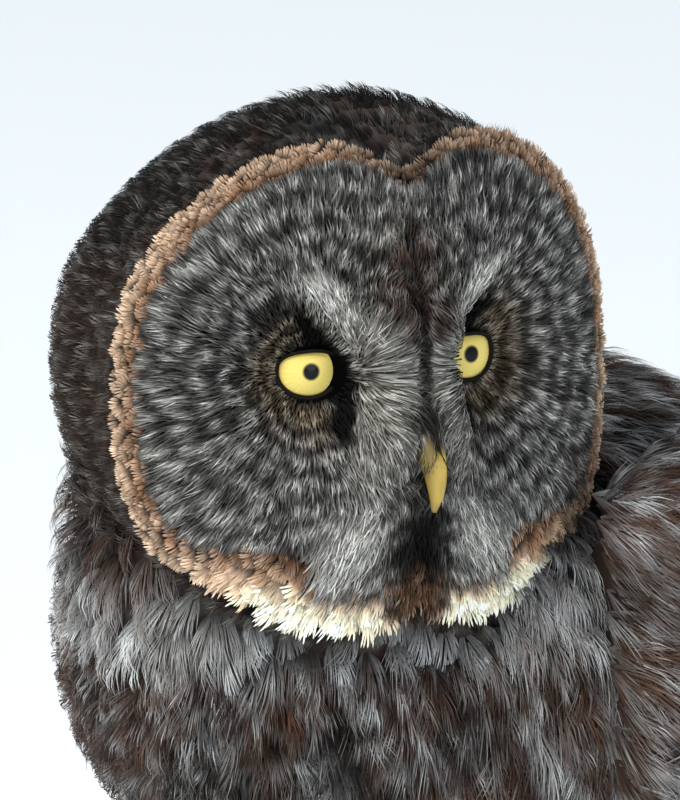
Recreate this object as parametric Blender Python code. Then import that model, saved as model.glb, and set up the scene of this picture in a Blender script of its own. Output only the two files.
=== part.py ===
"""A great grey owl standing on the floor, leaning forward, with its head turned to its left.

Sizes are in millimetres and are turned into metres when a mesh is made. The owl faces -Y, its
left side is +X and up is +Z. Each sub-part is one closed solid, 0.3 mm clear of its neighbours.
"""

import math

import bmesh
import bpy
import numpy as np
from mathutils import Vector
from mathutils.bvhtree import BVHTree

MM = 0.001
GAP = 0.3
COAT_SEED = 7

# The middle of the owl's box on the floor, measured from the point between its ankles.
MIDDLE = np.array([0.0, 105.0, 0.0])

# Head: half width, depth to the back, half height, and how it is held.
HEAD_CENTRE = np.array([10.0, -98.0, 291.0])
HEAD_YAW = math.radians(58.8)
HEAD_PITCH = math.radians(-3.0)
HEAD_HALF_WIDTH = 89.0
HEAD_BACK = 82.0
HEAD_HALF_HEIGHT = 80.0
HEAD_SIDES = 40
FACE_RINGS = 13
FACE_CROWDING = 1.35
CROWN_RINGS = 7
HEAD_GAP = 0.8

# Facial disc: outline half sizes, how far its middle is below the eyes, and its depth ahead of
# the head's centre, with a dish round each eye, a ridge between them and a swelling down each side
# of the bill's root.
DISC_HALF_WIDTH = 84.0
DISC_HALF_HEIGHT = 76.0
DISC_SQUARE = 2.4
DISC_DROP = 7.0
DISC_AHEAD = 42.0
DISC_SWEEP = 34.0
DISC_LEAN = 7.0
DISH_DEPTH = 12.0
DISH_SPREAD = 16.0
RIDGE_HEIGHT = 4.0
RIDGE_WIDTH = 10.0
LORE_HEIGHT = 6.5
LORE_OUT = 9.0
LORE_WIDTH = 5.0
BROW_NOTCH = 12.0
CHIN_NOTCH = 7.0
NOTCH_WIDTH = 15.0

# Ruff rows, from the rim inwards: (scales, root and tip as shares of the disc's outline, rise).
RUFF_ROWS = [(26, 0.88, 1.01, 1.8), (20, 0.79, 0.92, 2.4)]
RUFF_GIRTH = 292.0
RUFF_ROOM = [(0.2, 2.0), (0.6, 4.0), (0.8, 4.2), (1.035, 4.2), (1.035, -2.5), (0.8, -14.0)]

# Locks on the face, in groups: (locks, first root x and z, step to the last root, first tip, step to
# the last tip, half width, rise, tilt). The first three groups are on both sides.
BROW_LOCKS = (3, (7.0, -17.0), (9.0, 23.0), (14.0, -4.0), (13.0, 25.0), 4.6, 2.4, 0.4)
LORE_LOCKS = (3, (5.5, -18.0), (3.0, -24.0), (13.0, -34.0), (8.0, -24.0), 4.6, 2.4, -0.4)
CHIN_LOCKS = (3, (11.0, -58.0), (22.0, 3.0), (13.0, -73.0), (27.0, 2.0), 4.6, 2.6, 0.4)
BEARD_LOCKS = (2, (-4.0, -50.0), (8.0, 0.0), (-4.8, -70.0), (9.6, 0.0), 2.9, 2.2, 0.4)
LOCK_SINK = 1.2

# Eyes and lids.
EYE_RADIUS = 12.0
EYE_OUT = 25.3
EYE_FRONT = 28.5
EYE_TURN = math.radians(13.0)
LID_HALF_WIDTH = 9.8
LID_HALF_HEIGHT = 8.4
LID_THICK = 1.7
OPENING_HALF_WIDTH = 8.3
OPENING_HALF_HEIGHT = 6.9

# Bill, in the head's frame: (y, z, half width, half height) from its root to its tip.
BILL_UPPER = np.array([
    (-28.0, -14.0, 5.0, 5.6),
    (-38.0, -16.5, 5.0, 5.4),
    (-45.0, -21.5, 4.5, 4.7),
    (-49.0, -28.0, 3.7, 3.7),
    (-50.0, -35.0, 2.5, 2.4),
    (-48.3, -41.3, 0.8, 0.8),
])
BILL_LOWER = np.array([
    (-28.0, -25.0, 4.0, 3.0),
    (-36.0, -27.5, 3.8, 2.8),
    (-41.0, -31.0, 3.1, 2.3),
    (-44.0, -36.0, 1.4, 1.1),
])
NOSTRIL = np.array([4.3, -46.8, -19.5])
NOSTRIL_RADIUS = 1.3

# Trunk stations from inside the head to the rump:
# (x, y, z, half width, depth to the back, depth to the front, turn towards the face and slope
# down of the body there in degrees).
TRUNK = np.array([
    (-7.0, -86.0, 308.0, 34.0, 32.0, 26.0, 58.8, 86.0),
    (-7.0, -88.0, 282.0, 66.0, 54.0, 42.0, 58.8, 83.0),
    (-6.0, -87.0, 256.0, 79.0, 64.0, 50.0, 57.0, 76.0),
    (-6.0, -81.0, 231.0, 82.5, 71.0, 56.0, 50.0, 66.0),
    (-6.0, -64.0, 209.0, 92.0, 90.0, 73.0, 34.0, 53.0),
    (-3.0, -34.0, 194.0, 103.0, 105.0, 91.0, 15.0, 42.0),
    (0.0, 4.0, 181.0, 105.0, 104.0, 94.0, 3.0, 34.0),
    (0.0, 46.0, 163.0, 99.0, 99.0, 92.0, 0.0, 30.0),
    (0.0, 88.0, 140.0, 87.0, 86.0, 80.0, 0.0, 31.0),
    (0.0, 126.0, 114.0, 64.0, 58.0, 58.0, 0.0, 34.0),
    (0.0, 155.0, 95.0, 38.0, 32.0, 34.0, 0.0, 36.0),
    (0.0, 170.0, 86.0, 14.0, 12.0, 13.0, 0.0, 38.0),
])
TRUNK_RINGS = 22
TRUNK_SIDES = 26
TRUNK_SQUARE = 2.3
NECK_CUT = np.array([0.0, -40.0, 200.0])
NECK_CUT_ALONG = np.array([0.0, 0.8, -0.6])

# Folded wing, the left one: (x, y, z) down its middle from the wrist to the tip, and the way it
# faces there.
WING_LINE = np.array([
    (82.0, -72.0, 210.0),
    (97.0, -42.0, 209.0),
    (108.0, 2.0, 200.0),
    (108.0, 48.0, 186.0),
    (97.0, 105.0, 161.0),
    (77.0, 170.0, 129.0),
    (58.0, 240.0, 98.0),
    (45.0, 310.0, 70.0),
    (40.0, 345.0, 57.0),
])
WING_FACING = np.array([
    (0.90, -0.42, 0.02),
    (0.98, -0.18, 0.08),
    (0.98, 0.02, 0.2),
    (0.94, 0.1, 0.32),
    (0.84, 0.18, 0.5),
    (0.68, 0.24, 0.7),
    (0.54, 0.26, 0.8),
    (0.46, 0.26, 0.86),
    (0.44, 0.26, 0.87),
])
WING_ROUND = 0.0082
WING_CLEAR = 3.0
PAD_LENGTH = 215.0
PAD_HALF_WIDTH = 60.0
PAD_THICK = 9.0
VANE_THICK = 0.9
VANE_TILT = 0.95

# Wing feathers in tiers: (tier, feathers, root p, tip p of the lowest and of the highest, root q of
# the lowest and of the highest, tip q of both, half width (nothing: from their spacing), sink of
# the root, rise of the tip, rows along).
WING_TIERS = [
    ("lesser_front", 4, 10, 58, 54, -28, 38, -34, 48, None, 3.4, 3.0, 4),
    ("lesser_rear", 5, 42, 98, 94, -38, 50, -44, 58, None, 3.4, 3.2, 4),
    ("median", 4, 82, 146, 138, -46, 54, -48, 58, None, 3.4, 3.2, 4),
    ("greater", 5, 124, 206, 196, -48, 52, -50, 50, None, 3.4, 3.2, 4),
    ("secondary", 6, 166, 286, 340, -44, 46, -38, 34, None, 3.4, 3.0, 5),
    ("primary", 5, 176, 380, 462, -46, -20, -22, 6, 9.0, 5.5, 1.0, 5),
]
VANE_OVERLAP = 0.66

# Tail: where it leaves the rump, its slope down, the length of its middle feathers.
TAIL_ROOT = np.array([0.0, 150.0, 97.0])
TAIL_SLOPE = math.radians(13.0)
TAIL_LENGTH = 250.0
TAIL_FEATHERS = 12
TAIL_STEP = 1.4
TAIL_FAN = math.radians(1.9)
TAIL_SAG = 0.00012
TAIL_HALF_FEATHER = 13.0
TAIL_ROOT_STEP = 4.4

# Coverts at the root of the tail, above and below: (feathers, root u, tip u, step between roots,
# step between tips, half width, lift of the root and of the tip of the middle one, fall of each
# to the sides).
TAIL_COVERTS = [
    (5, 6.0, 62.0, 7.0, 10.5, 6.6, 1.0, 5.4, -1.3),
    (3, 4.0, 84.0, 11.2, 15.4, 7.4, -10.0, -13.5, 1.0),
]

# Legs: (x, y, z, half size) of the left one down to the ankle, and its toes:
# (name, x, y direction, length).
LEG = np.array([
    (40.0, 30.0, 98.0, 37.0),
    (42.0, 22.0, 70.0, 32.0),
    (44.0, 14.0, 46.0, 22.0),
    (45.0, 10.0, 28.0, 16.5),
    (45.0, 8.0, 19.0, 15.0),
])
ANKLE_HEIGHT = 23.0

# Ankle and its pad: (z, half width, half depth).
ANKLE = np.array([
    (-4.0, 10.0, 10.0),
    (6.0, 14.5, 15.0),
    (15.0, 15.6, 16.6),
    (ANKLE_HEIGHT, 15.4, 16.4),
])
TOES = [
    ("inner", -0.34, -0.94, 40.0),
    ("middle", 0.14, -0.99, 44.0),
    ("outer", 0.90, -0.44, 38.0),
    ("hind", -0.22, 0.97, 30.0),
]
TOE_HALF = 8.2
TOE_HEIGHT = 7.2
CLAW_LENGTH = 22.0
CLAW_HALF = 3.0


def smooth(x):
    x = np.clip(x, 0.0, 1.0)
    return x * x * (3.0 - 2.0 * x)


def curve_through(points, count):
    """Points spread along a smooth curve through the given rows (a Catmull-Rom spline)."""
    rows = np.asarray(points, float)
    padded = np.vstack([2 * rows[0] - rows[1], rows, 2 * rows[-1] - rows[-2]])
    t = np.linspace(0, len(rows) - 1, count)
    i = np.minimum(t.astype(int), len(rows) - 2)
    f = (t - i)[:, None]
    p0, p1, p2, p3 = padded[i], padded[i + 1], padded[i + 2], padded[i + 3]
    return 0.5 * (2 * p1 + (p2 - p0) * f + (2 * p0 - 5 * p1 + 4 * p2 - p3) * f**2
                  + (3 * p1 - p0 - 3 * p2 + p3) * f**3)


def turn_z(angle):
    c, s = math.cos(angle), math.sin(angle)
    return np.array([[c, -s, 0], [s, c, 0], [0, 0, 1]])


def turn_x(angle):
    c, s = math.cos(angle), math.sin(angle)
    return np.array([[1, 0, 0], [0, c, -s], [0, s, c]])


HEAD_TURN = turn_z(HEAD_YAW) @ turn_x(HEAD_PITCH)


def head_to_owl(points):
    """From the head's own frame (x to its left, y back, z up) to the owl's."""
    return np.asarray(points, float) @ HEAD_TURN.T + HEAD_CENTRE


# Building blocks: closed surfaces from grids of points.

def outward(points, faces):
    """The faces, turned round if they point inwards."""
    volume = 0.0
    for face in faces:
        a = points[face[0]]
        for k in range(1, len(face) - 1):
            volume += np.dot(a, np.cross(points[face[k]], points[face[k + 1]]))
    return faces if volume > 0 else [face[::-1] for face in faces]


def ring_solid(rings):
    """A closed surface over rings of points, with a point at the middle of each end ring."""
    count, sides = rings.shape[:2]
    points = np.vstack([rings.reshape(-1, 3), rings[0].mean(0), rings[-1].mean(0)])
    first, last = count * sides, count * sides + 1
    faces = []
    for j in range(sides):
        k = (j + 1) % sides
        faces.append((first, k, j))
        faces.append((last, (count - 1) * sides + j, (count - 1) * sides + k))
        for i in range(count - 1):
            faces.append((i * sides + j, i * sides + k, (i + 1) * sides + k, (i + 1) * sides + j))
    return points, outward(points, faces)


def sheet_solid(upper, lower):
    """A closed thin solid between two grids of points, both faces split into the same triangles."""
    rows, columns = upper.shape[:2]
    points = np.vstack([upper.reshape(-1, 3), lower.reshape(-1, 3)])
    under = rows * columns
    faces = []
    for i in range(rows - 1):
        for j in range(columns - 1):
            a, b = i * columns + j, i * columns + j + 1
            c, d = b + columns, a + columns
            faces += [(a, b, c), (a, c, d)]
            faces += [(under + a, under + c, under + b), (under + a, under + d, under + c)]
    edge = ([j for j in range(columns)]
            + [i * columns + columns - 1 for i in range(1, rows)]
            + [(rows - 1) * columns + j for j in range(columns - 2, -1, -1)]
            + [i * columns for i in range(rows - 2, 0, -1)])
    for a, b in zip(edge, edge[1:] + edge[:1]):
        faces += [(b, a, under + a), (b, under + a, under + b)]
    return points, outward(points, faces)


def tube_rings(line, wide, high, sides, across=(1.0, 0.0, 0.0)):
    """Rings round a line: wide is the half size along `across`, high the half size square to it."""
    line = np.asarray(line, float)
    along = np.gradient(line, axis=0)
    along /= np.linalg.norm(along, axis=1)[:, None]
    side = np.asarray(across, float) - (along @ np.asarray(across, float))[:, None] * along
    side /= np.linalg.norm(side, axis=1)[:, None]
    up = np.cross(along, side)
    angle = np.linspace(0, 2 * math.pi, sides, endpoint=False)
    return (line[:, None] + side[:, None] * (np.cos(angle)[None, :, None] * np.asarray(wide)[:, None, None])
            + up[:, None] * (np.sin(angle)[None, :, None] * np.asarray(high)[:, None, None]))


def round_ends(half, share_start, share_end, count):
    """Half sizes along a tube, rounded towards nothing over a share of its length at each end."""
    t = np.linspace(0, 1, count)
    start = np.sqrt(np.clip(1 - (1 - np.clip(t / max(share_start, 1e-6), 0, 1)) ** 2, 0.02, 1))
    end = np.sqrt(np.clip(1 - (1 - np.clip((1 - t) / max(share_end, 1e-6), 0, 1)) ** 2, 0.02, 1))
    return np.asarray(half) * (start if share_start else 1.0) * (end if share_end else 1.0)


# Blender objects, cuts and joins.

def clear_scene():
    for obj in list(bpy.data.objects):
        bpy.data.objects.remove(obj, do_unlink=True)


def new_collection(name):
    collection = bpy.data.collections.new(name)
    bpy.context.scene.collection.children.link(collection)
    return collection


def material(name, colour, roughness):
    made = bpy.data.materials.new(name)
    made.use_nodes = True
    shader = made.node_tree.nodes["Principled BSDF"]
    shader.inputs["Base Color"].default_value = (*colour, 1.0)
    shader.inputs["Roughness"].default_value = roughness
    shader.inputs["Metallic"].default_value = 0.0
    return made


def add_object(name, shape, collection, finish=None):
    points, faces = shape
    mesh = bpy.data.meshes.new(name)
    mesh.from_pydata([tuple(p) for p in (np.asarray(points) - MIDDLE) * MM], [], [tuple(f) for f in faces])
    mesh.validate()
    obj = bpy.data.objects.new(name, mesh)
    collection.objects.link(obj)
    if finish:
        mesh.materials.append(finish)
    return obj


def apply_modifier(obj):
    bpy.context.view_layer.update()
    graph = bpy.context.evaluated_depsgraph_get()
    mesh = bpy.data.meshes.new_from_object(obj.evaluated_get(graph))
    obj.modifiers.clear()
    old = obj.data
    obj.data = mesh
    bpy.data.meshes.remove(old)


def join(obj, shapes):
    """Fuses closed shapes into obj."""
    pieces = new_collection(obj.name + "_pieces")
    for number, shape in enumerate(shapes):
        add_object(f"{obj.name}_piece_{number}", shape, pieces)
    union = obj.modifiers.new("union", "BOOLEAN")
    union.operation = "UNION"
    union.operand_type = "COLLECTION"
    union.collection = pieces
    union.solver = "MANIFOLD"
    apply_modifier(obj)
    remove_collection(pieces)
    keep_largest(obj)


def cut(obj, shapes):
    """Takes closed shapes out of obj, and keeps its largest piece."""
    cutters = new_collection(obj.name + "_cutters")
    for number, shape in enumerate(shapes):
        cutter = add_object(f"{obj.name}_cutter_{number}", shape, cutters)
        cutter.hide_render = True
        cutter.display_type = "WIRE"
    difference = obj.modifiers.new("difference", "BOOLEAN")
    difference.operation = "DIFFERENCE"
    difference.operand_type = "COLLECTION"
    difference.collection = cutters
    difference.solver = "MANIFOLD"
    apply_modifier(obj)
    remove_collection(cutters)
    keep_largest(obj)


def remove_collection(collection):
    for obj in list(collection.objects):
        mesh = obj.data
        bpy.data.objects.remove(obj, do_unlink=True)
        bpy.data.meshes.remove(mesh)
    bpy.data.collections.remove(collection)


def keep_largest(obj):
    """Keeps the closed surface of obj that takes up the most room."""
    work = bmesh.new()
    work.from_mesh(obj.data)
    work.faces.ensure_lookup_table()
    left = set(work.faces)
    islands = []
    while left:
        start = left.pop()
        island, queue = [start], [start]
        while queue:
            face = queue.pop()
            for edge in face.edges:
                for other in edge.link_faces:
                    if other in left:
                        left.discard(other)
                        island.append(other)
                        queue.append(other)
        corners = [v.co for face in island for v in face.verts]
        size = [max(c[k] for c in corners) - min(c[k] for c in corners) for k in range(3)]
        islands.append((size[0] * size[1] * size[2], len(islands), island))
    islands.sort()
    loose = [face for _, _, island in islands[:-1] for face in island]
    if loose:
        bmesh.ops.delete(work, geom=loose, context="FACES")
        work.to_mesh(obj.data)
    work.free()


def halve(obj, point, normal):
    """Cuts obj on a plane, keeps the side that the normal points away from, and closes it."""
    work = bmesh.new()
    work.from_mesh(obj.data)
    geometry = list(work.verts) + list(work.edges) + list(work.faces)
    made = bmesh.ops.bisect_plane(work, geom=geometry, plane_co=Vector(point - MIDDLE) * MM,
                                  plane_no=Vector(normal), clear_outer=True)
    rim = [e for e in made["geom_cut"] if isinstance(e, bmesh.types.BMEdge)]
    bmesh.ops.contextual_create(work, geom=rim)
    bmesh.ops.triangulate(work, faces=[f for f in work.faces if len(f.verts) > 4])
    bmesh.ops.recalc_face_normals(work, faces=list(work.faces))
    work.to_mesh(obj.data)
    work.free()


def shade(obj, angle):
    obj.data.shade_smooth()
    obj.data.set_sharp_from_angle(angle=math.radians(angle))


# The head: a round skull cap behind a shallow dished face.

def disc_outline(angle):
    """The disc's edge about its middle: x and z at an angle from the owl's left, anticlockwise."""
    c, s = np.cos(angle), np.sin(angle)
    x = DISC_HALF_WIDTH * np.sign(c) * np.abs(c) ** (2 / DISC_SQUARE)
    z = DISC_HALF_HEIGHT * np.sign(s) * np.abs(s) ** (2 / DISC_SQUARE)
    near_middle = np.exp(-(x / NOTCH_WIDTH) ** 2)
    return x, z - BROW_NOTCH * near_middle * (s > 0) + CHIN_NOTCH * near_middle * (s < 0)


def face_depth(x, z):
    """The y of the face in the head's frame: a shallow dome with dishes, ridge and swellings."""
    dome = DISC_AHEAD - DISC_SWEEP * (x / DISC_HALF_WIDTH) ** 2
    dome = dome - DISC_LEAN * ((z + DISC_DROP) / DISC_HALF_HEIGHT) ** 2
    around = (np.abs(x) - EYE_OUT - 3.5) ** 2 + (z + 1.0) ** 2
    dish = DISH_DEPTH * np.exp(-around / (2 * DISH_SPREAD**2))
    ridge = RIDGE_HEIGHT * np.exp(-(x / RIDGE_WIDTH) ** 2) * smooth((z + 55) / 20) * smooth((45 - z) / 40)
    lores = LORE_HEIGHT * np.exp(-((np.abs(x) - LORE_OUT) / LORE_WIDTH) ** 2)
    lores = lores * smooth((z + 34) / 14) * smooth((28 - z) / 16)
    return -(dome - dish + ridge + lores)


def face_normal(x, z):
    step = 1.0
    slope_x = (face_depth(x + step, z) - face_depth(x - step, z)) / (2 * step)
    slope_z = (face_depth(x, z + step) - face_depth(x, z - step)) / (2 * step)
    normal = np.stack([slope_x, -np.ones_like(slope_x), slope_z], -1)
    return normal / np.linalg.norm(normal, axis=-1, keepdims=True)


def head_rings(grow=0.0):
    angle = np.linspace(0, 2 * math.pi, HEAD_SIDES, endpoint=False)
    x_rim, z_rim = disc_outline(angle)
    rings = []
    for share in 0.05 + 0.95 * np.linspace(0, 1, FACE_RINGS) ** FACE_CROWDING:
        x, z = x_rim * share, z_rim * share - DISC_DROP
        rings.append(np.stack([x, face_depth(x, z), z], 1))
    rim = rings[-1]
    reach = np.hypot(rim[:, 0], rim[:, 2])
    way = rim[:, [0, 2]] / reach[:, None]
    full = 1 / np.hypot(way[:, 0] / HEAD_HALF_WIDTH, way[:, 1] / HEAD_HALF_HEIGHT)
    for w in np.linspace(0, 1, CROWN_RINGS + 1)[1:]:
        y = rim[:, 1] + (HEAD_BACK - rim[:, 1]) * np.sin(w * math.pi / 2) * 0.999
        round_reach = full * np.sqrt(np.clip(1 - (y / HEAD_BACK) ** 2, 0.0, 1))
        part = smooth(w / 0.2)
        r = reach * (1 - part) + round_reach * part
        rings.append(np.stack([way[:, 0] * r, y, way[:, 1] * r], 1))
    return np.array(rings) * (1 + grow / HEAD_HALF_HEIGHT)


def head_shape(grow=0.0):
    return ring_solid(head_to_owl(head_rings(grow)))


def ruff_room():
    """The room the ruff takes up round the face, with a little to spare, for cutting its neighbours."""
    angle = np.linspace(0, 2 * math.pi, HEAD_SIDES, endpoint=False)
    x_rim, z_rim = disc_outline(angle)
    rings = []
    for share, lift in RUFF_ROOM:
        x, z = x_rim * share, z_rim * share - DISC_DROP
        rings.append(np.stack([x, face_depth(x, z), z], 1) + face_normal(x, z) * lift)
    return ring_solid(head_to_owl(np.array(rings)))


def face_vane(start, end, half_width, sink, rise, thick=1.0, rows=3, tilt=0.0):
    """A flat lock on the face from one (x, z) to another, its root sunk and its tip lifted."""
    start, end = np.array(start, float), np.array(end, float)
    along = (end - start) / np.linalg.norm(end - start)
    side = np.array([-along[1], along[0]])
    t = np.linspace(0, 1, rows)[:, None]
    s = np.array([-1.0, 1.0])[None, :]
    half = half_width * np.interp(t, [0, 0.5, 1], [0.5, 1.0, 0.4])
    x = start[0] + (end - start)[0] * t + side[0] * s * half
    z = start[1] + (end - start)[1] * t + side[1] * s * half
    lift = np.interp(t, [0, 0.5, 1], [-sink, 0.6 * rise, rise]) + tilt * s
    base = np.stack([x, face_depth(x, z), z], -1)
    normal = face_normal(x, z)
    body = thick * (1 - 0.35 * t)[..., None]
    return sheet_solid(head_to_owl(base + normal * (lift[..., None] + body / 2)),
                       head_to_owl(base + normal * (lift[..., None] - body / 2)))


def eye_places():
    places = []
    for side in (-1, 1):
        centre = np.array([side * EYE_OUT, -(EYE_FRONT - EYE_RADIUS), 0.0])
        places.append((side, centre, turn_z(side * EYE_TURN)))
    return places


def ball(centre, radius, rings=8, sides=13):
    tilt = np.linspace(0, math.pi, rings + 2)[1:-1]
    angle = np.linspace(0, 2 * math.pi, sides, endpoint=False)
    x = np.sin(tilt)[:, None] * np.cos(angle)
    z = np.sin(tilt)[:, None] * np.sin(angle)
    y = -np.cos(tilt)[:, None] * np.ones(sides)
    rows = np.stack([x, y, z], -1) * radius
    points, faces = ring_solid(rows)
    points[-2], points[-1] = (0, -radius, 0), (0, radius, 0)
    return points + centre, faces


def eye_ball(place, radius):
    centre, turn = place[1:]
    points, faces = ball(np.zeros(3), radius)
    return head_to_owl(points @ turn.T + centre), faces


def eye_opening(place):
    """The hole between the lids: an oval rod from inside the eyeball to well in front of it."""
    centre, turn = place[1:]
    line = np.array([(0.0, 0.0, 0.0), (0.0, -12.0, 0.0), (0.0, -30.0, 0.0)])
    widths = np.array([OPENING_HALF_WIDTH, OPENING_HALF_WIDTH, OPENING_HALF_WIDTH + 1.5])
    heights = np.array([OPENING_HALF_HEIGHT, OPENING_HALF_HEIGHT, OPENING_HALF_HEIGHT + 1.5])
    points, faces = ring_solid(tube_rings(line, widths, heights, 16))
    return head_to_owl(points @ turn.T + centre), faces


def lid_ring(place):
    """The rims of the lids: an oval roll lying on the eyeball."""
    centre, turn = place[1:]
    around = np.linspace(0, 2 * math.pi, 16, endpoint=False)
    across = np.linspace(0, 2 * math.pi, 4, endpoint=False)
    x = LID_HALF_WIDTH * np.cos(around)
    z = LID_HALF_HEIGHT * np.sin(around)
    out = np.hypot(x, z)
    ahead = np.sqrt((EYE_RADIUS + LID_THICK) ** 2 - out**2)
    middle = np.stack([x, -ahead, z], 1)
    outward_way = np.stack([x / out, np.zeros(16), z / out], 1)
    forward = middle / np.linalg.norm(middle, axis=1)[:, None]
    points = (middle[:, None] + LID_THICK * (np.cos(across)[None, :, None] * outward_way[:, None]
                                             + np.sin(across)[None, :, None] * forward[:, None]))
    points = points.reshape(-1, 3)
    faces = []
    for i in range(16):
        k = (i + 1) % 16
        for j in range(4):
            m = (j + 1) % 4
            faces.append((i * 4 + j, i * 4 + m, k * 4 + m, k * 4 + j))
    points = points @ turn.T + centre
    return head_to_owl(points), outward(points, faces)


def bill_shape(stations, grow=0.0, sides=10, count=7):
    rows = curve_through(stations, count)
    line = np.stack([np.zeros(count), rows[:, 0], rows[:, 1]], 1)
    along = np.gradient(line, axis=0)
    along /= np.linalg.norm(along, axis=1)[:, None]
    if grow:
        line[0] -= along[0] * grow
        line[-1] += along[-1] * grow
    rings = tube_rings(line, rows[:, 2] + grow, rows[:, 3] + grow, sides)
    return ring_solid(head_to_owl(rings))


def ruff_shapes(chance):
    """Rows of small scales round the disc, their tips turned out over its edge."""
    shapes = []
    for row, (count, root, tip, rise) in enumerate(RUFF_ROWS):
        half = RUFF_GIRTH * root / count
        for k in range(count):
            x, z = disc_outline(2 * math.pi * (k + 0.5 * row) / count)
            reach = tip + chance.uniform(-0.012, 0.012)
            start = (x * root, z * root - DISC_DROP)
            end = (x * reach, z * reach - DISC_DROP)
            lift = rise + chance.uniform(-0.2, 0.2)
            shapes.append(face_vane(start, end, half, LOCK_SINK, lift, tilt=1.0))
    return shapes


def lock_group(group, side, chance):
    count, root, root_step, tip, tip_step, half_width, rise, tilt = group
    shapes = []
    for k in range(count):
        t = k / (count - 1)
        start = (side * (root[0] + root_step[0] * t), root[1] + root_step[1] * t)
        end = (side * (tip[0] + tip_step[0] * t), tip[1] + tip_step[1] * t + chance.uniform(-1.0, 1.0))
        shapes.append(face_vane(start, end, half_width, LOCK_SINK, rise, tilt=tilt * side))
    return shapes


def brow_shapes(chance):
    """Locks of the pale crescents over each eye and beside the bill, of the chin and its beard."""
    shapes = lock_group(BEARD_LOCKS, 1, chance)
    for side in (-1, 1):
        for group in (BROW_LOCKS, LORE_LOCKS, CHIN_LOCKS):
            shapes += lock_group(group, side, chance)
    return shapes


# The trunk, from the neck to the rump, and its two parts.

def trunk_rings(grow=0.0):
    rows = curve_through(TRUNK, TRUNK_RINGS)
    centre = rows[:, :3]
    slope, turn = np.radians(rows[:, 7]), np.radians(rows[:, 6])
    zero = np.zeros(TRUNK_RINGS)
    along = np.stack([zero, np.cos(slope), -np.sin(slope)], 1)
    back = np.stack([zero, np.sin(slope), np.cos(slope)], 1)
    left = np.array([1.0, 0.0, 0.0])
    c, s = np.cos(turn)[:, None], np.sin(turn)[:, None]
    left, back = left * c + back * s, back * c - left * s
    angle = np.linspace(0, 2 * math.pi, TRUNK_SIDES, endpoint=False)
    ca, sa = np.cos(angle), np.sin(angle)
    wide = np.sign(ca) * np.abs(ca) ** (2 / TRUNK_SQUARE)
    deep = np.sign(sa) * np.abs(sa) ** (2 / TRUNK_SQUARE)
    sideways = (rows[:, 3] + grow)[:, None] * wide
    depth = np.where(deep > 0, (rows[:, 4] + grow)[:, None], (rows[:, 5] + grow)[:, None]) * deep
    rings = centre[:, None] + left[:, None] * sideways[..., None] + back[:, None] * depth[..., None]
    if grow:
        rings[0] -= along[0] * grow
        rings[-1] += along[-1] * grow
    return rings


def trunk_shape(grow=0.0):
    """The trunk in triangles, so that a grown one runs everywhere alongside it."""
    points, faces = ring_solid(trunk_rings(grow))
    return points, [(face[0], face[k], face[k + 1]) for face in faces for k in range(1, len(face) - 1)]


# The wings.

TRUNK_TREE = BVHTree.FromPolygons(trunk_shape()[0].tolist(), trunk_shape()[1])


def trunk_height(base, normal):
    """How far the trunk's surface stands above each point, along its own normal."""
    heights = []
    for start, way in zip(base.reshape(-1, 3), normal.reshape(-1, 3)):
        hit = TRUNK_TREE.ray_cast(Vector(start + way * 80.0), Vector(-way), 160.0)
        heights.append(80.0 - hit[3] if hit[0] is not None else -80.0)
    return np.array(heights).reshape(base.shape[:-1])


def wing_frame(p):
    """Middle, outward way and upward way of the folded left wing at a distance from its wrist."""
    fine = curve_through(np.hstack([WING_LINE, WING_FACING]), 200)
    reach = np.r_[0, np.cumsum(np.linalg.norm(np.diff(fine[:, :3], axis=0), axis=1))]
    p = np.asarray(p, float)
    rows = np.stack([np.interp(p, reach, fine[:, k]) for k in range(6)], -1)
    ahead = np.stack([np.interp(p + 4, reach, fine[:, k]) for k in range(3)], -1)
    behind = np.stack([np.interp(p - 4, reach, fine[:, k]) for k in range(3)], -1)
    along = ahead - behind
    along /= np.linalg.norm(along, axis=-1, keepdims=True)
    facing = rows[..., 3:]
    facing = facing - (facing * along).sum(-1, keepdims=True) * along
    facing /= np.linalg.norm(facing, axis=-1, keepdims=True)
    upward = np.cross(along, facing)
    upward *= np.sign(upward[..., 2:])
    return rows[..., :3], facing, upward


def wing_point(p, q, lift, side):
    """A point of a wing: p along it, q up across its rounded side, lift out from the trunk."""
    p, q, lift = np.broadcast_arrays(np.asarray(p, float), np.asarray(q, float), np.asarray(lift, float))
    middle, facing, upward = wing_frame(p)
    bend = WING_ROUND * q
    up = (np.sin(bend) / WING_ROUND)[..., None]
    inward = ((1 - np.cos(bend)) / WING_ROUND)[..., None]
    normal = facing * np.cos(bend)[..., None] + upward * np.sin(bend)[..., None]
    base = middle + upward * up - facing * inward
    mirror = np.array([side, 1.0, 1.0])
    base, normal = base * mirror, normal * mirror
    clear = trunk_height(base, normal) + WING_CLEAR
    raised = 0.5 * (clear + np.sqrt(clear**2 + WING_CLEAR**2))
    return base + normal * (raised + lift)[..., None]


VANE_ROWS = {4: [0.0, 0.45, 0.82, 1.0], 5: [0.0, 0.4, 0.75, 0.93, 1.0]}
VANE_WIDTHS = {4: [0.5, 1.0, 0.9, 0.35], 5: [0.6, 1.0, 1.0, 0.75, 0.3]}


def wing_vane(side, p_root, p_tip, q_root, q_tip, half_width, sink, rise, rows):
    t = np.array(VANE_ROWS[rows])[:, None]
    half = half_width * np.array(VANE_WIDTHS[rows])[:, None]
    s = np.array([[-1.0, 1.0]])
    p = p_root + (p_tip - p_root) * t - 3.0 * t * np.abs(s)
    q = q_root + (q_tip - q_root) * t + s * half
    lift = -sink + (rise + sink) * t + VANE_TILT * s
    body = VANE_THICK * (1 - 0.3 * t) + 0 * s
    return sheet_solid(wing_point(p, q, lift + body / 2, side), wing_point(p, q, lift - body / 2, side))


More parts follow.
